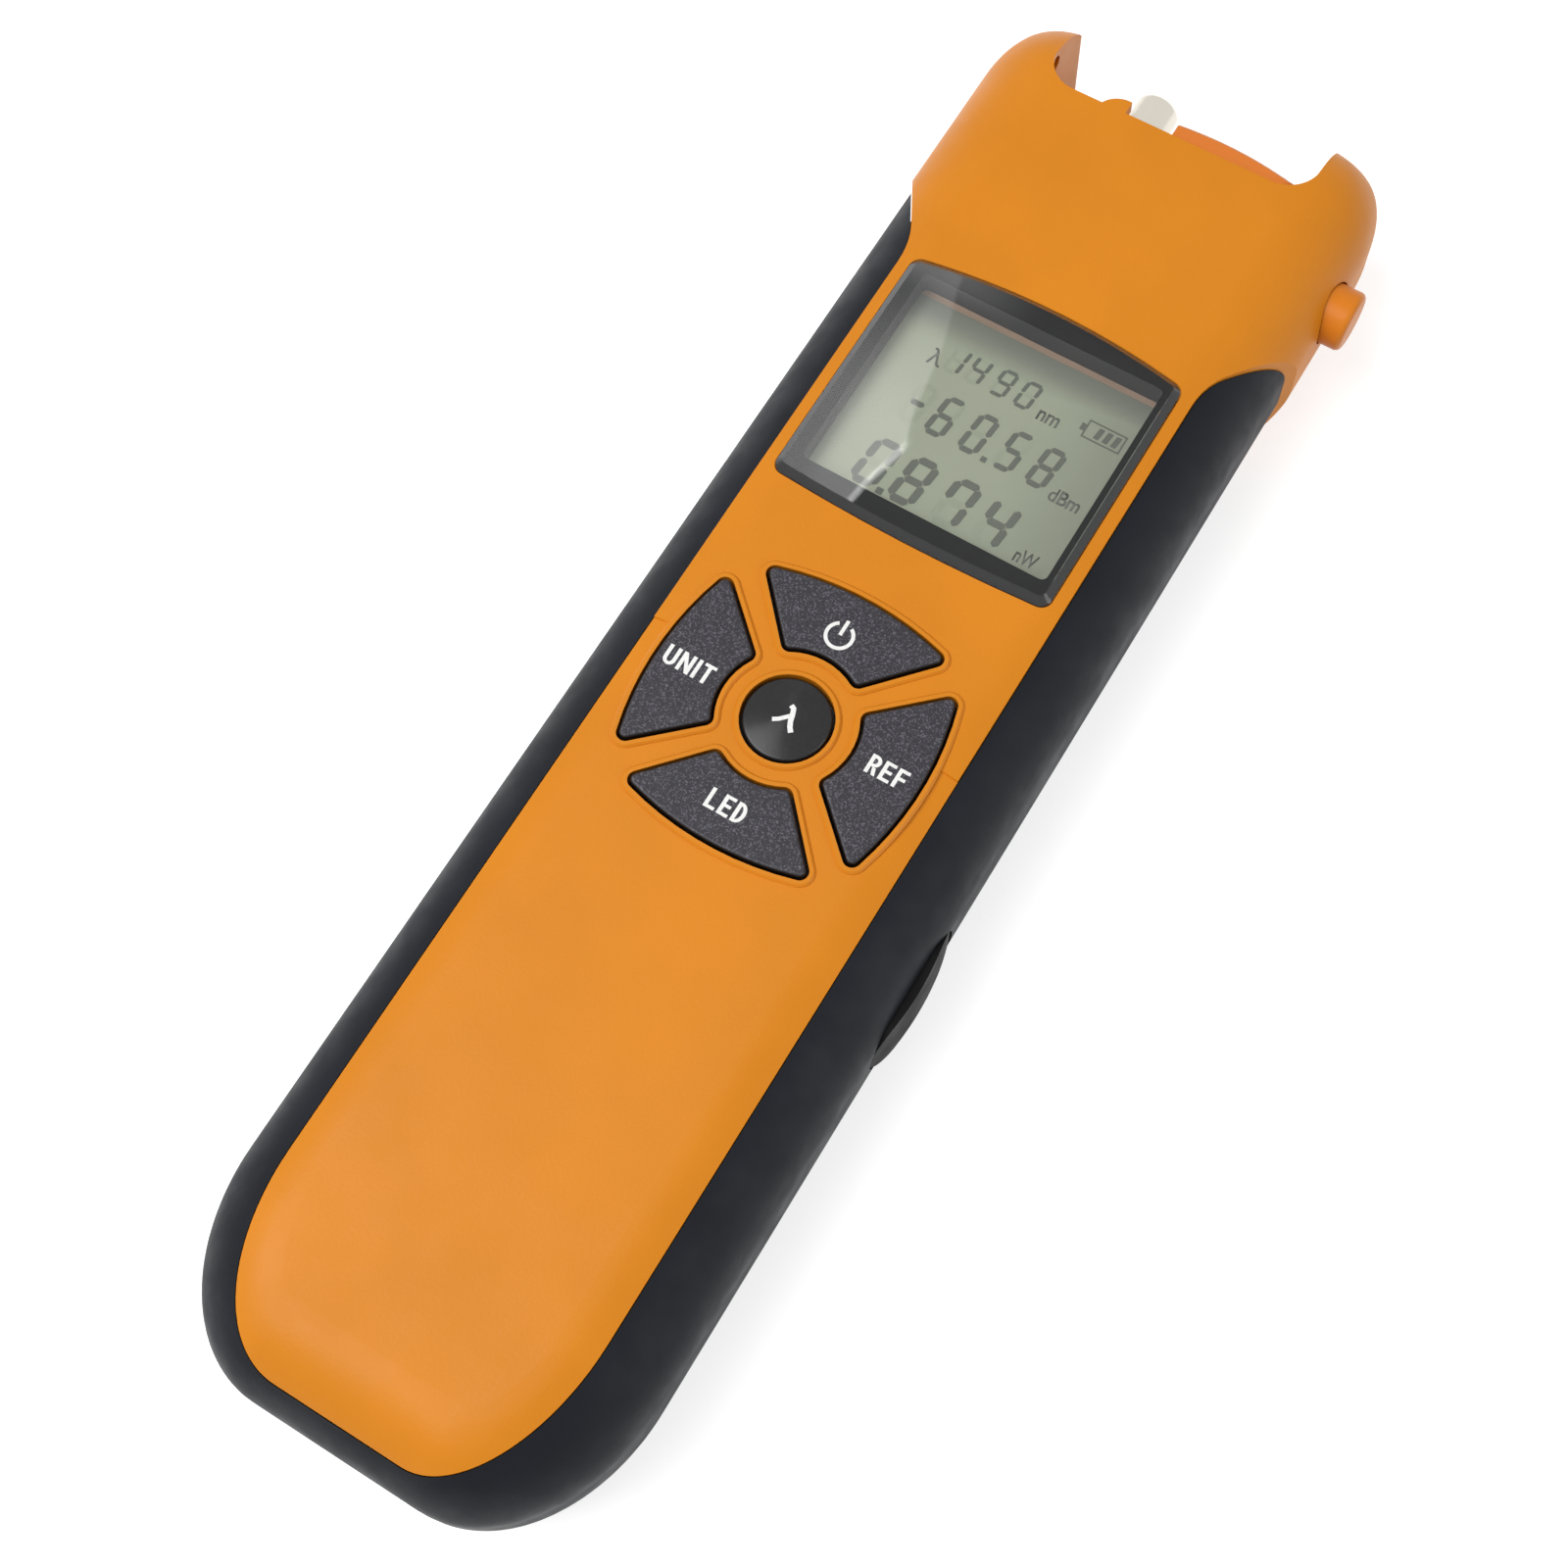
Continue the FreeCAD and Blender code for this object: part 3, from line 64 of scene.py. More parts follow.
class Paint:
    """A material whose Principled shader is fed by object-space textures."""

    def __init__(self, name, color, roughness, metallic=0.0, ior=1.5, coat=0.0, specular=0.5):
        self.material = bpy.data.materials.new(name)
        self.material.use_nodes = True
        self.tree = self.material.node_tree
        self.tree.nodes.clear()
        self.output = self.tree.nodes.new("ShaderNodeOutputMaterial")
        self.shader = self.tree.nodes.new("ShaderNodeBsdfPrincipled")
        self.show(self.shader)
        self.color = color
        self.shader.inputs["Base Color"].default_value = (*color, 1)
        self.shader.inputs["Roughness"].default_value = roughness
        self.shader.inputs["Metallic"].default_value = metallic
        self.shader.inputs["IOR"].default_value = ior
        self.shader.inputs["Coat Weight"].default_value = coat
        self.shader.inputs["Specular IOR Level"].default_value = specular
        self.roughness = roughness
        self.where = self.node("ShaderNodeTexCoord").outputs["Object"]
        self.normal = None

    def node(self, kind, **values):
        made = self.tree.nodes.new(kind)
        for key, value in values.items():
            setattr(made, key, value)
        return made

    def link(self, a, b):
        self.tree.links.new(a, b)

    def show(self, shader):
        """Make a shader node the one that the surface shows."""
        self.link(shader.outputs[0], self.output.inputs["Surface"])

    def noise(self, size, detail=2.0, stretch=(1, 1, 1)):
        """Noise whose features are about size across, and smaller along an axis with a larger stretch."""
        mapping = self.node("ShaderNodeMapping")
        mapping.inputs["Scale"].default_value = stretch
        self.link(self.where, mapping.inputs["Vector"])
        texture = self.node("ShaderNodeTexNoise")
        texture.inputs["Scale"].default_value = 1 / (size * MM)
        texture.inputs["Detail"].default_value = detail
        self.link(mapping.outputs[0], texture.inputs["Vector"])
        return texture.outputs["Fac"]

    def component(self, vector, axis):
        split = self.node("ShaderNodeSeparateXYZ")
        self.link(vector, split.inputs[0])
        return split.outputs["XYZ".index(axis)]

    def part(self, axis):
        """One object-space coordinate, in millimetres."""
        return self.math("MULTIPLY", self.component(self.where, axis), 1 / MM)

    def facing(self, axis):
        """One component of the surface's normal."""
        return self.component(self.node("ShaderNodeNewGeometry").outputs["Normal"], axis)

    def rays(self, *kinds):
        """1 for rays of these kinds and 0 for others."""
        path = self.node("ShaderNodeLightPath")
        seen = path.outputs[kinds[0]]
        for kind in kinds[1:]:
            seen = self.math("MAXIMUM", seen, path.outputs[kind])
        return seen

    def math(self, operation, a, b=0.0, c=0.0):
        made = self.node("ShaderNodeMath", operation=operation)
        for socket, value in zip(made.inputs, (a, b, c)):
            if isinstance(value, (int, float)):
                socket.default_value = value
            else:
                self.link(value, socket)
        return made.outputs[0]

    def ramp(self, value, low, high, out_low=0.0, out_high=1.0):
        """Smooth step from one output to the other as the value goes from low to high."""
        made = self.node("ShaderNodeMapRange", interpolation_type="SMOOTHSTEP")
        self.link(value, made.inputs["Value"])
        for key, number in (("From Min", low), ("From Max", high), ("To Min", out_low), ("To Max", out_high)):
            made.inputs[key].default_value = number
        return made.outputs[0]

    def mix(self, share, a, b):
        """Blend of two colours, each a tuple or a socket."""
        made = self.node("ShaderNodeMix", data_type="RGBA")
        self.link(share, made.inputs[0])
        for socket, value in ((made.inputs[6], a), (made.inputs[7], b)):
            if isinstance(value, (tuple, list)):
                socket.default_value = (*value, 1)
            else:
                self.link(value, socket)
        return made.outputs[2]

    def set_color(self, socket):
        self.link(socket, self.shader.inputs["Base Color"])

    def mottle(self, size, amount):
        """Uneven colour: the base colour a little darker and lighter in patches."""
        dark = [c * (1 - amount) for c in self.color]
        light = [min(1, c * (1 + amount)) for c in self.color]
        self.set_color(self.mix(self.ramp(self.noise(size, MOTTLE_DETAIL), *NOISE_SPAN), dark, light))

    def uneven_gloss(self, size, amount):
        low, high = self.roughness - amount, self.roughness + amount
        self.link(self.ramp(self.noise(size), *NOISE_SPAN, low, high), self.shader.inputs["Roughness"])

    def bump(self, height, depth):
        """Relief of a depth, on top of the normal made so far."""
        made = self.node("ShaderNodeBump")
        made.inputs["Strength"].default_value = 1.0
        made.inputs["Distance"].default_value = depth * MM
        self.link(height, made.inputs["Height"])
        if self.normal is not None:
            self.link(self.normal, made.inputs["Normal"])
        self.normal = made.outputs[0]
        self.link(self.normal, self.shader.inputs["Normal"])

    def soft_edges(self, radius):
        """Small moulded radius on sharp edges."""
        made = self.node("ShaderNodeBevel", samples=6)
        made.inputs["Radius"].default_value = radius * MM
        self.normal = made.outputs[0]
        self.link(self.normal, self.shader.inputs["Normal"])


# ---------------------------------------------------------------- materials
ORANGE = (0.66, 0.222, 0.01)
GRAIN = 0.42             # grain of the moulded plastic
FLECK = 0.2              # flecks of the outer keys
KEY_FLAT, KEY_SIDE = 0.93, 0.7   # upward part of the normal, on a key's top and where its side is near black: partly the side's own dark colour, partly painted shade of the gap round the key
RING_PITCH = 0.16        # turned rings of the round key
TRACK_X, TRACK_Y = 5.2, 4.1      # waves of the board's tracks, in radians for each millimetre
TOP_PAINTED_SHADE = (5.5, 1.0, 0.78)     # painted shade on the film below its upper edge, standing for the frame's shadow: starts, is full, strength
SIDE_PAINTED_SHADE = (2.0, 16.5, 0.3)    # painted shade on the film towards its right edge, standing for the frame's shadow: starts, is full, strength


def moulded(name, color, roughness, depth=0.018, edges=0.0):
    """Spark-eroded moulded plastic: fine grain, slightly uneven colour and gloss."""
    paint = Paint(name, color, roughness, specular=0.2)
    paint.mottle(18, 0.035)
    paint.uneven_gloss(6, 0.04)
    if edges:
        paint.soft_edges(edges)
    paint.bump(paint.noise(GRAIN, 4), depth)
    return paint.material


def soft_rubber(name, color, roughness):
    """Soft-touch elastomer with a very fine grain."""
    paint = Paint(name, color, roughness, specular=0.13)
    paint.mottle(9, 0.12)
    paint.uneven_gloss(4, 0.05)
    paint.bump(paint.noise(0.28, 3), 0.012)
    return paint.material


def speckled_key(name):
    """Coarse dark key skin with lighter flecks; its sides near black, partly their own colour and partly
    painted shade of the gaps round the keys.
    """
    paint = Paint(name, (0.035, 0.032, 0.04), 0.42, specular=0.3)
    coarse = paint.noise(FLECK, 5)
    skin = paint.mix(paint.ramp(coarse, 0.48, 0.7), (0.022, 0.02, 0.026), (0.125, 0.12, 0.14))
    # near black sides: their own dark colour together with painted shade of the gaps round the keys
    side = paint.ramp(paint.facing("Z"), KEY_FLAT, KEY_SIDE)
    paint.set_color(paint.mix(side, skin, (0.002, 0.002, 0.002)))
    paint.bump(coarse, 0.03)
    return paint.material


def spun_key(name):
    """Nearly black key with turned rings."""
    paint = Paint(name, (0.008, 0.008, 0.009), 0.24, coat=0.05, specular=0.35)
    x, y = paint.part("X"), paint.math("SUBTRACT", paint.part("Y"), KEY_Y)
    squares = paint.math("ADD", paint.math("MULTIPLY", x, x), paint.math("MULTIPLY", y, y))
    radius = paint.math("SQRT", squares)
    rings = paint.math("SINE", paint.math("MULTIPLY", radius, 2 * math.pi / RING_PITCH))
    paint.mottle(0.5, 0.25)
    paint.bump(rings, 0.004)
    return paint.material


def clear_window(name):
    """Clear lens that lets the lamps reach the display below it."""
    paint = Paint(name, (0.97, 0.98, 0.97), 0.0, ior=1.49)
    paint.shader.inputs["Transmission Weight"].default_value = 1.0
    paint.mottle(7, 0.008)
    clear = paint.node("ShaderNodeBsdfTransparent")
    clear.inputs[0].default_value = (0.94, 0.95, 0.94, 1)
    both = paint.node("ShaderNodeMixShader")
    paint.link(paint.rays("Is Shadow Ray", "Is Diffuse Ray"), both.inputs[0])
    paint.link(paint.shader.outputs[0], both.inputs[1])
    paint.link(clear.outputs[0], both.inputs[2])
    paint.show(both)
    return paint.material


def display_film(name):
    """Grey-green reflective polariser, with painted shade where the frame would shade its top and right."""
    paint = Paint(name, (0.31, 0.335, 0.245), 0.35)
    fine = paint.ramp(paint.noise(0.12, 2), *NOISE_SPAN)
    grain = paint.mix(fine, (0.3, 0.325, 0.235), (0.325, 0.35, 0.258))
    start, full, strength = TOP_PAINTED_SHADE
    top = paint.ramp(paint.part("Y"), FILM_TOP - start, FILM_TOP - full, 0, strength)
    start, full, strength = SIDE_PAINTED_SHADE
    painted_shade = paint.math("MAXIMUM", top, paint.ramp(paint.part("X"), start, full, 0, strength))
    # the dark colour mixed in here is painted shade near the film's upper and right edges
    paint.set_color(paint.mix(painted_shade, grain, (0.1, 0.105, 0.09)))
    return paint.material


def brushed(name, color, roughness, stretch):
    """Metal with fine lines across the axis that is stretched most."""
    paint = Paint(name, color, roughness, metallic=1.0)
    paint.uneven_gloss(3, 0.05)
    paint.bump(paint.noise(0.12, 2, stretch), 0.003)
    return paint.material


def circuit_board(name):
    """Green solder mask over a faint relief of tracks."""
    paint = Paint(name, (0.012, 0.11, 0.04), 0.3, coat=0.3)
    across = paint.math("SINE", paint.math("MULTIPLY", paint.part("X"), TRACK_X))
    along = paint.math("SINE", paint.math("MULTIPLY", paint.part("Y"), TRACK_Y))
    tracks = paint.math("MAXIMUM", across, along)
    share = paint.ramp(paint.math("MULTIPLY", tracks, paint.noise(5, 1)), 0.42, 0.5)
    paint.set_color(paint.mix(share, (0.01, 0.09, 0.03), (0.02, 0.17, 0.06)))
    paint.bump(share, 0.03)
    return paint.material


def cell_wrap(name):
    """Plain printed wrap with bare steel at both ends."""
    paint = Paint(name, (0.05, 0.09, 0.14), 0.35)
    end = paint.ramp(paint.math("ABSOLUTE", paint.facing("Y")), 0.6, 0.9)
    paint.set_color(paint.mix(end, (0.045, 0.085, 0.13), (0.62, 0.62, 0.6)))
    paint.link(end, paint.shader.inputs["Metallic"])
    paint.bump(paint.noise(2.5), 0.02)
    return paint.material


def ink(name, color):
    """Printed mark with a slightly uneven cover."""
    paint = Paint(name, color, 0.45)
    paint.mottle(0.4, 0.05)
    return paint.material


def tinted(name, color, roughness, grain, depth, specular=0.5):
    """Plain plastic, glass, foam or rubber of one colour, with a grain."""
    paint = Paint(name, color, roughness, specular=specular)
    paint.mottle(2, 0.06)
    paint.bump(paint.noise(grain), depth)
    return paint.material


def dress_frame():
    """Give every node of the frame its material."""
    orange = moulded("orange_abs", ORANGE, 0.42, depth=0.026)
    metal = brushed("nickel", (0.68, 0.64, 0.56), 0.2, (1, 14, 1))
    steel = brushed("steel", (0.55, 0.55, 0.54), 0.32, (8, 8, 1))
    black = tinted("black_plastic", (0.014, 0.014, 0.016), 0.5, 0.4, 0.01)
    key = speckled_key("key_skin")
    contact = brushed("contact_plate", (0.66, 0.65, 0.6), 0.28, (12, 1, 1))
    wrap = cell_wrap("cell_wrap")
    board = circuit_board("solder_mask")
    finish = {
        "front_shell": orange, "rear_shell": orange,
        "end_plate": moulded("orange_plate", (0.7, 0.2, 0.03), 0.3, depth=0.006, edges=0.25),
        "side_button": moulded("orange_button", (0.66, 0.2, 0.012), 0.36, edges=0.2),
        "battery_door": moulded("orange_door", ORANGE, 0.45),
        "grip_jacket": soft_rubber("grip_skin", (0.008, 0.0095, 0.0135), 0.5),
        "port_cover": soft_rubber("cover_skin", (0.002, 0.002, 0.0022), 0.6),
        "display_window": clear_window("clear_lens"),
        "window_gasket": tinted("foam", (0.012, 0.012, 0.014), 0.85, 0.15, 0.03),
        "display_bezel": tinted("bezel_black", (0.012, 0.012, 0.015), 0.6, 2.0, 0.002, 0.2),
        "lcd_glass": tinted("glass_ledge", (0.3, 0.2, 0.14), 0.3, 0.6, 0.004),
        "light_guide": tinted("milky_guide", (0.8, 0.82, 0.8), 0.25, 1.0, 0.004),
        "contact_strips": tinted("striped_rubber", (0.2, 0.2, 0.21), 0.7, 0.1, 0.01),
        "key_power": key, "key_unit": key, "key_led": key, "key_ref": key,
        "key_wavelength": spun_key("key_gloss"),
        "key_switches": black, "side_switch": black, "board_chips": black, "detector_holder": black,
        "main_board": board, "side_board": board,
        "usb_socket": steel, "photodiode": brushed("diode_can", (0.7, 0.6, 0.4), 0.25, (1, 6, 1)),
        "detector_adapter": metal,
        "torch_lamp": tinted("lamp_epoxy", (0.82, 0.86, 0.9), 0.08, 1.5, 0.004),
        "battery_left": wrap, "battery_right": wrap,
        "bridge_contact": contact, "positive_contact": contact, "negative_contact": contact,
        "case_screws": steel, "board_screws": steel, "holder_screws": steel,
    }
    for name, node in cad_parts.items():
        node.data.materials.clear()
        node.data.materials.append(finish[name])


# ---------------------------------------------------------------- flat marks
def new_object(name, bm, material):
    """Object in the scene with the shape of a bmesh, which is freed."""
    mesh = bpy.data.meshes.new(name)
    bm.to_mesh(mesh)
    bm.free()
    mesh.materials.append(material)
    made = bpy.data.objects.new(name, mesh)
    bpy.context.scene.collection.objects.link(made)
    return made


def mesh_piece(name, bm, material, body):
    """Mark that moves with a body of the frame."""
    piece = new_object(name, bm, material)
    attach(piece, body)


def rect(x0, x1, y0, y1):
    """Outline of an upright rectangle."""
    return [(x0, y0), (x1, y0), (x1, y1), (x0, y1)]


def turned(cx, cy, rx, ry, deg0, deg1, steps=12):
    """Points of an elliptical arc."""
    turns = [math.radians(deg0 + (deg1 - deg0) * i / steps) for i in range(steps + 1)]
    return [(cx + rx * math.cos(a), cy + ry * math.sin(a)) for a in turns]


def add_plate(bm, outline, z, thickness):
    """Closed thin plate over an outline of (x, y), counter-clockwise, its top at z."""
    low = [bm.verts.new((x * MM, y * MM, (z - thickness) * MM)) for x, y in outline]
    high = [bm.verts.new((x * MM, y * MM, z * MM)) for x, y in outline]
    bm.faces.new(high)
    bm.faces.new(low[::-1])
    count = len(outline)
    for i in range(count):
        j = (i + 1) % count
        bm.faces.new((low[i], low[j], high[j], high[i]))


# ---------------------------------------------------------------- key legends
INK_T = 0.03             # thickness of a printed mark
INK_RISE = 0.02          # how far it stands above its surface
STROKE = 0.46            # upright strokes of the letters
BAR_SHARE = 0.85         # level strokes, as a share of the upright ones
GAP_SHARE = 0.75         # gap between letters, as a share of a stroke
LETTER_W = {"N": 1.1, "U": 1.05}         # widths, as shares of an ordinary letter's
LEGENDS = {"key_unit": ("UNIT", -16.0, -9.8, -1.3, 1.15), "key_ref": ("REF", 10.6, 15.4, -1.2, 1.2),
           "key_led": ("LED", -2.6, 2.2, -13.7, -11.2)}     # word, left, right, low and high from KEY_Y
POWER_X, POWER_UP, POWER_R, POWER_T = -0.1, 11.6, 1.8, 0.44  # power sign: middle from KEY_Y, radius, stroke
POWER_GAP = 30           # degrees from the sign's top to each end of its ring
POWER_LOW, POWER_HIGH = 0.1, 0.3         # the sign's bar starts above its middle and ends above its ring
CROWN_R = 30.0           # crown of the round key
SIGN_STEM = ((-0.35, 1.5), (0.1, 1.3), (0.4, 0.5), (0.6, -0.25), (0.9, -0.85), (1.3, -1.35))
SIGN_LEG = ((0.35, 0.45), (-0.2, -0.1), (-0.7, -0.6), (-1.35, -1.0))
STEM_W, LEG_W = 0.6, 0.5
RIBBON_STEP = 0.3        # longest step along a ribbon


def bowl(x, w, y0, y1, t, b):
    """Right half of a rounded stroke between two heights, from x to w."""
    r, h = (y1 - y0) / 2, (y0 + y1) / 2
    rx = min(w - x, r)
    outer = [(x, y0)] + turned(w - rx, h, rx, r, -90, 90) + [(x, y1)]
    inner = [(x, y1 - b)] + turned(w - rx, h, rx - t, r - b, 90, -90) + [(x, y0 + b)]
    return outer + inner


def letter(sign, w, h, t):
    """Outlines of a bold capital w wide and h high, with strokes t wide."""
    b, m, c = BAR_SHARE * t, h / 2, w / 2
    stem = rect(0, t, 0, h)
    arm = [(t, m - b / 2), (0.9 * w, m - b / 2), (0.9 * w, m + b / 2), (t, m + b / 2)]
    head = [(t, h - b), (w, h - b), (w, h), (0, h)]
    if sign == "I":
        return [stem]
    if sign == "L":
        return [[(0, 0), (w, 0), (w, b), (t, b), (t, h), (0, h)]]
    if sign == "T":
        return [[(c - t / 2, 0), (c + t / 2, 0), (c + t / 2, h - b), (w, h - b), (w, h), (0, h), (0, h - b),
                 (c - t / 2, h - b)]]
    if sign == "E":
        return [[(0, 0), (w, 0), (w, b), (t, b)] + arm + head]
    if sign == "F":
        return [[(0, 0), (t, 0)] + arm + head]
    if sign == "N":
        return [[(0, 0), (t, 0), (t, 0.6 * h), (w - t, 0), (w, 0), (w, h), (w - t, h), (w - t, 0.4 * h),
                 (t, h), (0, h)]]
    if sign == "U":
        return [[(0, h)] + turned(c, c, c, c, 180, 360) + [(w, h), (w - t, h)]
                + turned(c, c, c - t, c - b, 360, 180) + [(t, h)]]
    if sign == "D":
        return [stem, bowl(t, w, 0, h, t, b)]
    low = m - 0.7 * b    # what is left is R: a bowl on a stem, and a leg from the bowl's lower side
    return [stem, bowl(t, w, low, h, t, b), [(w - t, 0), (w, 0), (w - 0.6 * t, low), (w - 1.6 * t, low)]]


def add_word(bm, word, x0, x1, y0, y1, z):
    """Word in bold capitals, spaced to fill a rectangle."""
    gap = GAP_SHARE * STROKE
    shares = [LETTER_W.get(sign, 1.0) for sign in word if sign != "I"]
    room = x1 - x0 - gap * (len(word) - 1) - STROKE * word.count("I")
    x = x0
    for sign in word:
        w = STROKE if sign == "I" else room * LETTER_W.get(sign, 1.0) / sum(shares)
        for outline in letter(sign, w, y1 - y0, STROKE):
            add_plate(bm, [(x + px, y0 + py) for px, py in outline], z, INK_T)
        x += w + gap


def key_legends(material):
    """Words on the outer keys and the power sign."""
    z = KEY_TOP + INK_RISE
    for key, (text, x0, x1, low, high) in LEGENDS.items():
        bm = bmesh.new()
        add_word(bm, text, x0, x1, KEY_Y + low, KEY_Y + high, z)
        mesh_piece("legend_" + key[4:], bm, material, key)
    bm = bmesh.new()
    cx, cy, r, t = POWER_X, KEY_Y + POWER_UP, POWER_R, POWER_T
    ends = (90 + POWER_GAP, 450 - POWER_GAP, 40)
    add_plate(bm, turned(cx, cy, r, r, *ends) + turned(cx, cy, r - t, r - t, *ends)[::-1], z, INK_T)
    add_plate(bm, rect(cx - t / 2, cx + t / 2, cy + POWER_LOW, cy + r + POWER_HIGH), z, INK_T)
    mesh_piece("legend_power", bm, material, "key_power")


def steps_along(corners):
    """Points spaced evenly along straight runs between corners."""
    path = [corners[0]]
    for (x0, y0), (x1, y1) in zip(corners, corners[1:]):
        count = math.ceil(math.hypot(x1 - x0, y1 - y0) / RIBBON_STEP)
        path += [(x0 + (x1 - x0) * i / count, y0 + (y1 - y0) * i / count) for i in range(1, count + 1)]
    return path


def add_ribbon(bm, path, width, top):
    """Closed band of constant width along a path of (x, y), its upper face at the height top(x, y)."""
    rows = []
    for i, (x, y) in enumerate(path):
        back, ahead = path[max(i - 1, 0)], path[min(i + 1, len(path) - 1)]
        dx, dy = ahead[0] - back[0], ahead[1] - back[1]
        half = width / 2 / math.hypot(dx, dy)
        row = []
        for px, py in ((x - dy * half, y + dx * half), (x + dy * half, y - dx * half)):
            row += [bm.verts.new((px * MM, py * MM, (top(px, py) - drop) * MM)) for drop in (0, INK_T)]
        rows.append(row)
    for a, b in zip(rows, rows[1:]):
        for i, j in ((0, 2), (2, 3), (3, 1), (1, 0)):
            bm.faces.new((a[i], a[j], b[j], b[i]))
    first, last = rows[0], rows[-1]
    bm.faces.new((first[0], first[1], first[3], first[2]))
    bm.faces.new((last[0], last[2], last[3], last[1]))


def wavelength_legend(material):
    """Sign on the domed round key, bent to its crown."""
    crown = top_mm("key_wavelength") + INK_RISE

    def on_crown(x, y):
        return crown - CROWN_R + math.sqrt(CROWN_R ** 2 - x ** 2 - (y - KEY_Y) ** 2)

    bm = bmesh.new()
    for corners, width in ((SIGN_STEM, STEM_W), (SIGN_LEG, LEG_W)):
        add_ribbon(bm, steps_along([(x, KEY_Y + y) for x, y in corners]), width, on_crown)
    mesh_piece("legend_wavelength", bm, material, "key_wavelength")


# ---------------------------------------------------------------- display read-out
FILM_T = 0.14            # polariser on the display glass
FILM_GAP = 0.01          # between glass, film and marks
FILM_SIDE_IN, FILM_LOW_IN = 0.3, 1.0     # glass left bare at the film's sides and lower edge
FILM_MARK_T = 0.02
SEGMENTS = {"0": "abcdef", "1": "bc", "2": "abdeg", "3": "abcdg", "4": "bcfg", "5": "acdfg", "6": "acdefg",
            "7": "abcf", "8": "abcdefg", "9": "abcdfg", "-": "g"}
LEAN = 0.1               # slant of the figures
SEGMENT_GAP = 0.1        # between segments, as a share of their stroke
# rows of figures: the signs, the left edge of each, then base, width, height and stroke
ROWS = (("1490", (-9.0, -6.1, -2.6, 0.7), 46.5, 2.2, 4.0, 0.5),
        ("-6058", (-10.6, -6.8, -2.2, 2.5, 6.9), 38.0, 2.8, 5.9, 0.74),
        ("0874", (-11.3, -6.2, -0.4, 5.0), 28.1, 3.7, 6.9, 1.0))
POINTS = ((1.3, 37.9, 0.75), (-7.3, 28.0, 0.9))          # decimal points: left, base, side
# small marks: the words, left, right, low, high, and what is added to the strokes
SMALL_MARKS = (("λ", -11.0, -9.2, 46.4, 48.8, 0.01), ("nm", 4.2, 7.0, 46.2, 47.6, 0.015),
               ("dBm", 10.6, 14.6, 37.4, 39.3, 0.015), ("nW", 11.0, 13.8, 28.4, 30.3, 0.015))
CHARGE_BOX = (10.0, 15.1, 46.8, 49.4)    # battery sign: left, right, low, high
CHARGE_LINE = 0.22
CAP_L, CAP_IN = 0.6, 0.8                 # its cap: length, and how far it stays inside the sign's height
BARS, BAR_W, BAR_STEP, BAR_LEAN = 3, 0.7, 1.15, 0.2
BAR_FIRST, BAR_IN = 1.4, 0.5             # first bar's left edge from the right, and room above and below
WELD = 1e-5              # corners of the font's mesh closer than this are one, at unit size


def text_outline(words, bold):
    """Mesh of the words in the built-in font, flat, at unit size."""
    curve = bpy.data.curves.new("words", "FONT")
    curve.body = words
    curve.offset = bold
    curve.resolution_u = 6
    holder = bpy.data.objects.new("words", curve)
    bpy.context.scene.collection.objects.link(holder)
    bpy.context.view_layer.update()
    flat = bpy.data.meshes.new_from_object(holder.evaluated_get(bpy.context.evaluated_depsgraph_get()))
    bpy.data.objects.remove(holder)
    return flat


def add_text(bm, words, x0, x1, y0, y1, bold, z):
    """Words fitted to a rectangle, as a thin closed plate with its top at z."""
    flat = text_outline(words, bold)
    xs = [v.co.x for v in flat.vertices]
    ys = [v.co.y for v in flat.vertices]
    sx, sy = (x1 - x0) / (max(xs) - min(xs)), (y1 - y0) / (max(ys) - min(ys))
    part = bmesh.new()
    part.from_mesh(flat)
    bmesh.ops.remove_doubles(part, verts=part.verts, dist=WELD)
    for v in part.verts:
        x, y = x0 + (v.co.x - min(xs)) * sx, y0 + (v.co.y - min(ys)) * sy
        v.co = (x * MM, y * MM, (z - FILM_MARK_T) * MM)
    raised = bmesh.ops.extrude_face_region(part, geom=part.faces[:])
    for v in raised["geom"]:
        if isinstance(v, bmesh.types.BMVert):
            v.co.z = z * MM
    bmesh.ops.recalc_face_normals(part, faces=part.faces)
    joined = bpy.data.meshes.new("part")
    part.to_mesh(joined)
    part.free()
    bm.from_mesh(joined)
    bpy.data.meshes.remove(joined)
    bpy.data.meshes.remove(flat)


def segment_shapes(w, h, t):
    """Outlines of the seven segments of a figure w wide and h high, with mitred ends."""
    g, m, a = SEGMENT_GAP * t, h / 2, t / 2

    def bar(x0, x1, y):
        return [(x0 + g, y), (x0 + a, y - a), (x1 - a, y - a), (x1 - g, y), (x1 - a, y + a), (x0 + a, y + a)]

    def post(x, y0, y1):
        return [(x, y0 + g), (x + a, y0 + a), (x + a, y1 - a), (x, y1 - g), (x - a, y1 - a), (x - a, y0 + a)]

    left, right, low, high = a, w - a, a, h - a
    return {"a": bar(left, right, high), "g": bar(left, right, m), "d": bar(left, right, low),
            "f": post(left, m, high), "b": post(right, m, high),
            "e": post(left, low, m), "c": post(right, low, m)}


def add_figure(dark, unlit, sign, x, y, w, h, t, z):
    """The seven segments of a figure, those of its sign dark and the rest unlit."""
    for name, outline in segment_shapes(w, h, t).items():
        target = dark if name in SEGMENTS[sign] else unlit
        add_plate(target, [(x + px + LEAN * py, y + py) for px, py in outline], z, FILM_MARK_T)


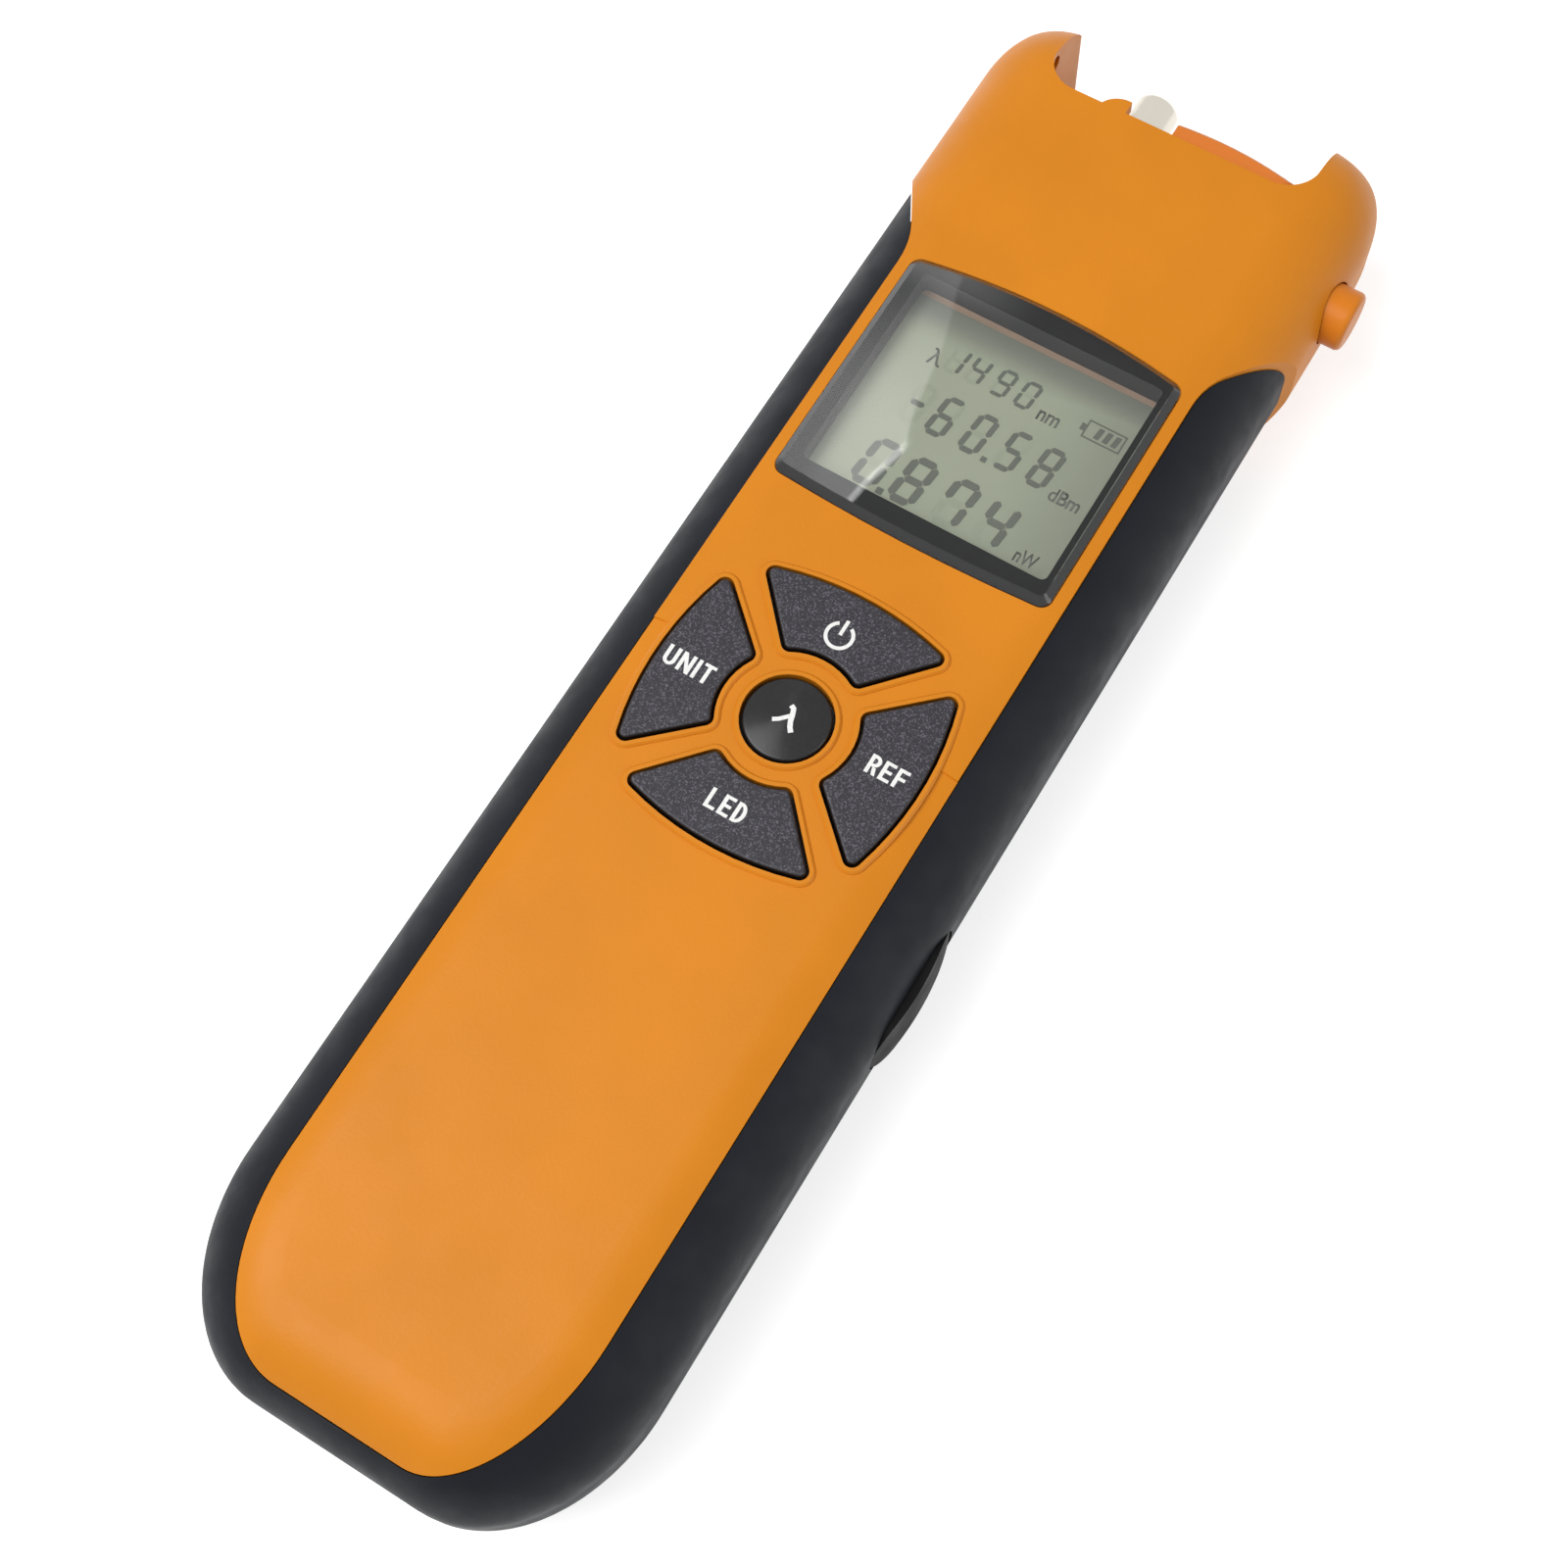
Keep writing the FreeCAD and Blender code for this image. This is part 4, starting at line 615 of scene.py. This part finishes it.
def charge_sign(bm, z):
    """Battery outline with leaning bars, its cap to the left."""
    x0, x1, y0, y1 = CHARGE_BOX
    t = CHARGE_LINE
    for box in ((x0, x1, y0, y0 + t), (x0, x1, y1 - t, y1), (x1 - t, x1, y0 + t, y1 - t),
                (x0, x0 + t, y0 + t, y1 - t), (x0 - CAP_L, x0, y0 + CAP_IN, y1 - CAP_IN)):
        add_plate(bm, rect(*box), z, FILM_MARK_T)
    low, high = y0 + BAR_IN, y1 - BAR_IN
    for i in range(BARS):
        a = x1 - BAR_FIRST - i * BAR_STEP
        b = a + BAR_W
        add_plate(bm, [(a, low), (b, low), (b + BAR_LEAN, high), (a + BAR_LEAN, high)], z, FILM_MARK_T)


def display_readout():
    """Film over the glass, with the figures, units and charge sign just above it."""
    film_z = LCD_TOP + FILM_GAP + FILM_T
    z = film_z + FILM_GAP + FILM_MARK_T
    low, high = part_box("lcd_glass")
    side = high.x / MM - FILM_SIDE_IN
    bm = bmesh.new()
    add_plate(bm, rect(-side, side, low.y / MM + FILM_LOW_IN, FILM_TOP), film_z, FILM_T)
    mesh_piece("lcd_film", bm, display_film("display_film"), "case")
    dark, unlit = bmesh.new(), bmesh.new()
    for signs, edges, y, w, h, t in ROWS:
        for sign, x in zip(signs, edges):
            add_figure(dark, unlit, sign, x, y, w, h, t, z)
    for x, y, s in POINTS:
        add_plate(dark, rect(x, x + s, y, y + s), z, FILM_MARK_T)
    for mark in SMALL_MARKS:
        add_text(dark, *mark, z)
    charge_sign(dark, z)
    mesh_piece("lcd_figures", dark, ink("segment_lit", (0.075, 0.085, 0.065)), "case")
    mesh_piece("lcd_unlit", unlit, ink("segment_unlit", (0.285, 0.31, 0.225)), "case")


# ---------------------------------------------------------------- studio
FLOOR_HALF, FLOOR_Z = 3.0, -0.00005      # metres
FLOOR_GLOW = 0.7         # what the floor adds where it is seen, so that it shows white
WORLD_LIGHT = 0.4        # the world's strength as light; where it is seen it is 1
LAMPS = (("key_light", (-0.4, -0.3, 0.92), (0.7, 0.7), 9.0),
         ("right_light", (0.75, 0.1, 0.22), (0.35, 0.7), 1.6))       # place, size, watts; aimed at the origin
SEEN_WHITE = ("Is Camera Ray", "Is Glossy Ray", "Is Transmission Ray")


def make_floor():
    """Pale floor that shows white and keeps the object's shadow."""
    bm = bmesh.new()
    corners = rect(-FLOOR_HALF, FLOOR_HALF, -FLOOR_HALF, FLOOR_HALF)
    bm.faces.new([bm.verts.new((x, y, FLOOR_Z)) for x, y in corners])
    paint = Paint("floor_white", (0.6, 0.6, 0.6), 0.8, specular=0.1)
    glow = paint.node("ShaderNodeEmission")
    paint.link(paint.math("MULTIPLY", paint.rays(*SEEN_WHITE), FLOOR_GLOW), glow.inputs["Strength"])
    both = paint.node("ShaderNodeAddShader")
    paint.link(paint.shader.outputs[0], both.inputs[0])
    paint.link(glow.outputs[0], both.inputs[1])
    paint.show(both)
    floor = new_object("floor", bm, paint.material)


def make_world():
    """White surroundings that light the object less than they show."""
    world = bpy.data.worlds.new("studio")
    bpy.context.scene.world = world
    world.use_nodes = True
    tree = world.node_tree
    back = tree.nodes["Background"]
    path = tree.nodes.new("ShaderNodeLightPath")
    shown = path.outputs[SEEN_WHITE[0]]
    for ray in SEEN_WHITE[1:]:
        either = tree.nodes.new("ShaderNodeMath")
        either.operation = "MAXIMUM"
        tree.links.new(shown, either.inputs[0])
        tree.links.new(path.outputs[ray], either.inputs[1])
        shown = either.outputs[0]
    level = tree.nodes.new("ShaderNodeMapRange")
    level.inputs["To Min"].default_value = WORLD_LIGHT
    level.inputs["To Max"].default_value = 1.0
    tree.links.new(shown, level.inputs["Value"])
    tree.links.new(level.outputs[0], back.inputs["Strength"])
    back.inputs["Color"].default_value = (1, 1, 1, 1)


def make_lights():
    """Soft rectangular lamps that the camera doesn't see."""
    for name, place, size, power in LAMPS:
        lamp = bpy.data.lights.new(name, "AREA")
        lamp.shape = "RECTANGLE"
        lamp.size, lamp.size_y = size
        lamp.energy = power
        holder = bpy.data.objects.new(name, lamp)
        bpy.context.scene.collection.objects.link(holder)
        holder.location = place
        holder.rotation_euler = (-Vector(place)).to_track_quat("-Z", "Y").to_euler()
        holder.visible_camera = False


# ---------------------------------------------------------------- camera and what the window mirrors
CAMERA_MM = (61.95, -89.15, 273.48)
CAMERA_AXES = ((0.854, 0.520, -0.035), (-0.473, 0.801, 0.367), (0.219, -0.296, 0.930))   # right, up, back
CAMERA_LENS, CAMERA_SENSOR = 55.14, 36.0
CARD_Z = 500.0           # height of the card that the window mirrors
# The card's own x and y are those of the point of the window where they are mirrored.
CARD_SPAN = (-20, 20, 20, 60)            # left, right, low, high
WAVER, WAVER_SIZE = 3.0, 14              # how far its edges waver, and over what length
BEND_SLOPE, BEND_X = 0.2, -12.9          # x of the bend, as a line over y; the streak lies on it
TOP_SLOPE, TOP_X = -0.22, 1.4            # x of the pale part's upper right edge, as a line over y
BEND_ROOM = 0.4                          # the pale part ends this far beyond the bend
PALE, CORNER, STREAK, BASE = 3.6, 1.6, 6.0, 0.45        # strengths


def make_card():
    """Uneven bright surroundings that only the gloss sees, placed so that the window mirrors them."""
    glass = top_mm("display_window")
    reach = (CARD_Z - glass) / (CAMERA_MM[2] - glass)
    bm = bmesh.new()
    add_plate(bm, rect(*CARD_SPAN), 0, 0.01)
    paint = Paint("card_glow", (0, 0, 0), 1.0)
    x, y = paint.part("X"), paint.part("Y")
    uneven = paint.math("SUBTRACT", paint.noise(WAVER_SIZE, 1), 0.5)
    x = paint.math("ADD", x, paint.math("MULTIPLY", uneven, WAVER))
    bend = paint.math("MULTIPLY_ADD", y, BEND_SLOPE, BEND_X)
    top_edge = paint.math("MULTIPLY_ADD", y, TOP_SLOPE, TOP_X)
    left = paint.math("SUBTRACT", paint.math("MINIMUM", top_edge, paint.math("ADD", bend, BEND_ROOM)), x)
    pale = paint.math("MULTIPLY", paint.ramp(left, 0, 0.7, 0, PALE), paint.ramp(y, 54, 34, 0.35, 1.0))
    fade = paint.ramp(x, -12.5, -15.5, 1.0, 0.8)
    corner = paint.math("MULTIPLY", paint.ramp(y, 51.5, 56, 0, CORNER), paint.ramp(x, 0, -12))
    off = paint.math("ABSOLUTE", paint.math("SUBTRACT", x, bend))
    streak = paint.math("MULTIPLY", paint.ramp(off, 0.7, 0.15, 0, STREAK), paint.ramp(y, 34.5, 31.5))
    bright = paint.math("ADD", paint.math("MULTIPLY", pale, fade), corner)
    total = paint.math("ADD", paint.math("ADD", bright, streak), BASE)
    glow = paint.node("ShaderNodeEmission")
    paint.link(total, glow.inputs["Strength"])
    paint.show(glow)
    card = new_object("card", bm, paint.material)
    card.scale = (1 + reach, 1 + reach, 1)
    card.location = (-CAMERA_MM[0] * reach * MM, -CAMERA_MM[1] * reach * MM, CARD_Z * MM)
    card.visible_camera = card.visible_diffuse = card.visible_transmission = card.visible_shadow = False


def make_camera():
    """Camera at the photograph's viewing angle."""
    data = bpy.data.cameras.new("camera")
    data.sensor_width = CAMERA_SENSOR
    data.lens = CAMERA_LENS
    data.clip_start = 0.01
    camera = bpy.data.objects.new("camera", data)
    bpy.context.scene.collection.objects.link(camera)
    turn = Matrix(CAMERA_AXES).transposed()
    place = Matrix.Translation(Vector(CAMERA_MM) * MM)
    camera.matrix_world = place @ turn.to_quaternion().to_matrix().to_4x4()
    bpy.context.scene.camera = camera


# ---------------------------------------------------------------- build
dress_frame()
white = ink("legend_white", (0.82, 0.82, 0.8))
key_legends(white)
wavelength_legend(white)
display_readout()
make_floor()
make_world()
make_lights()
make_card()
make_camera()
bpy.context.scene.view_settings.view_transform = "Standard"
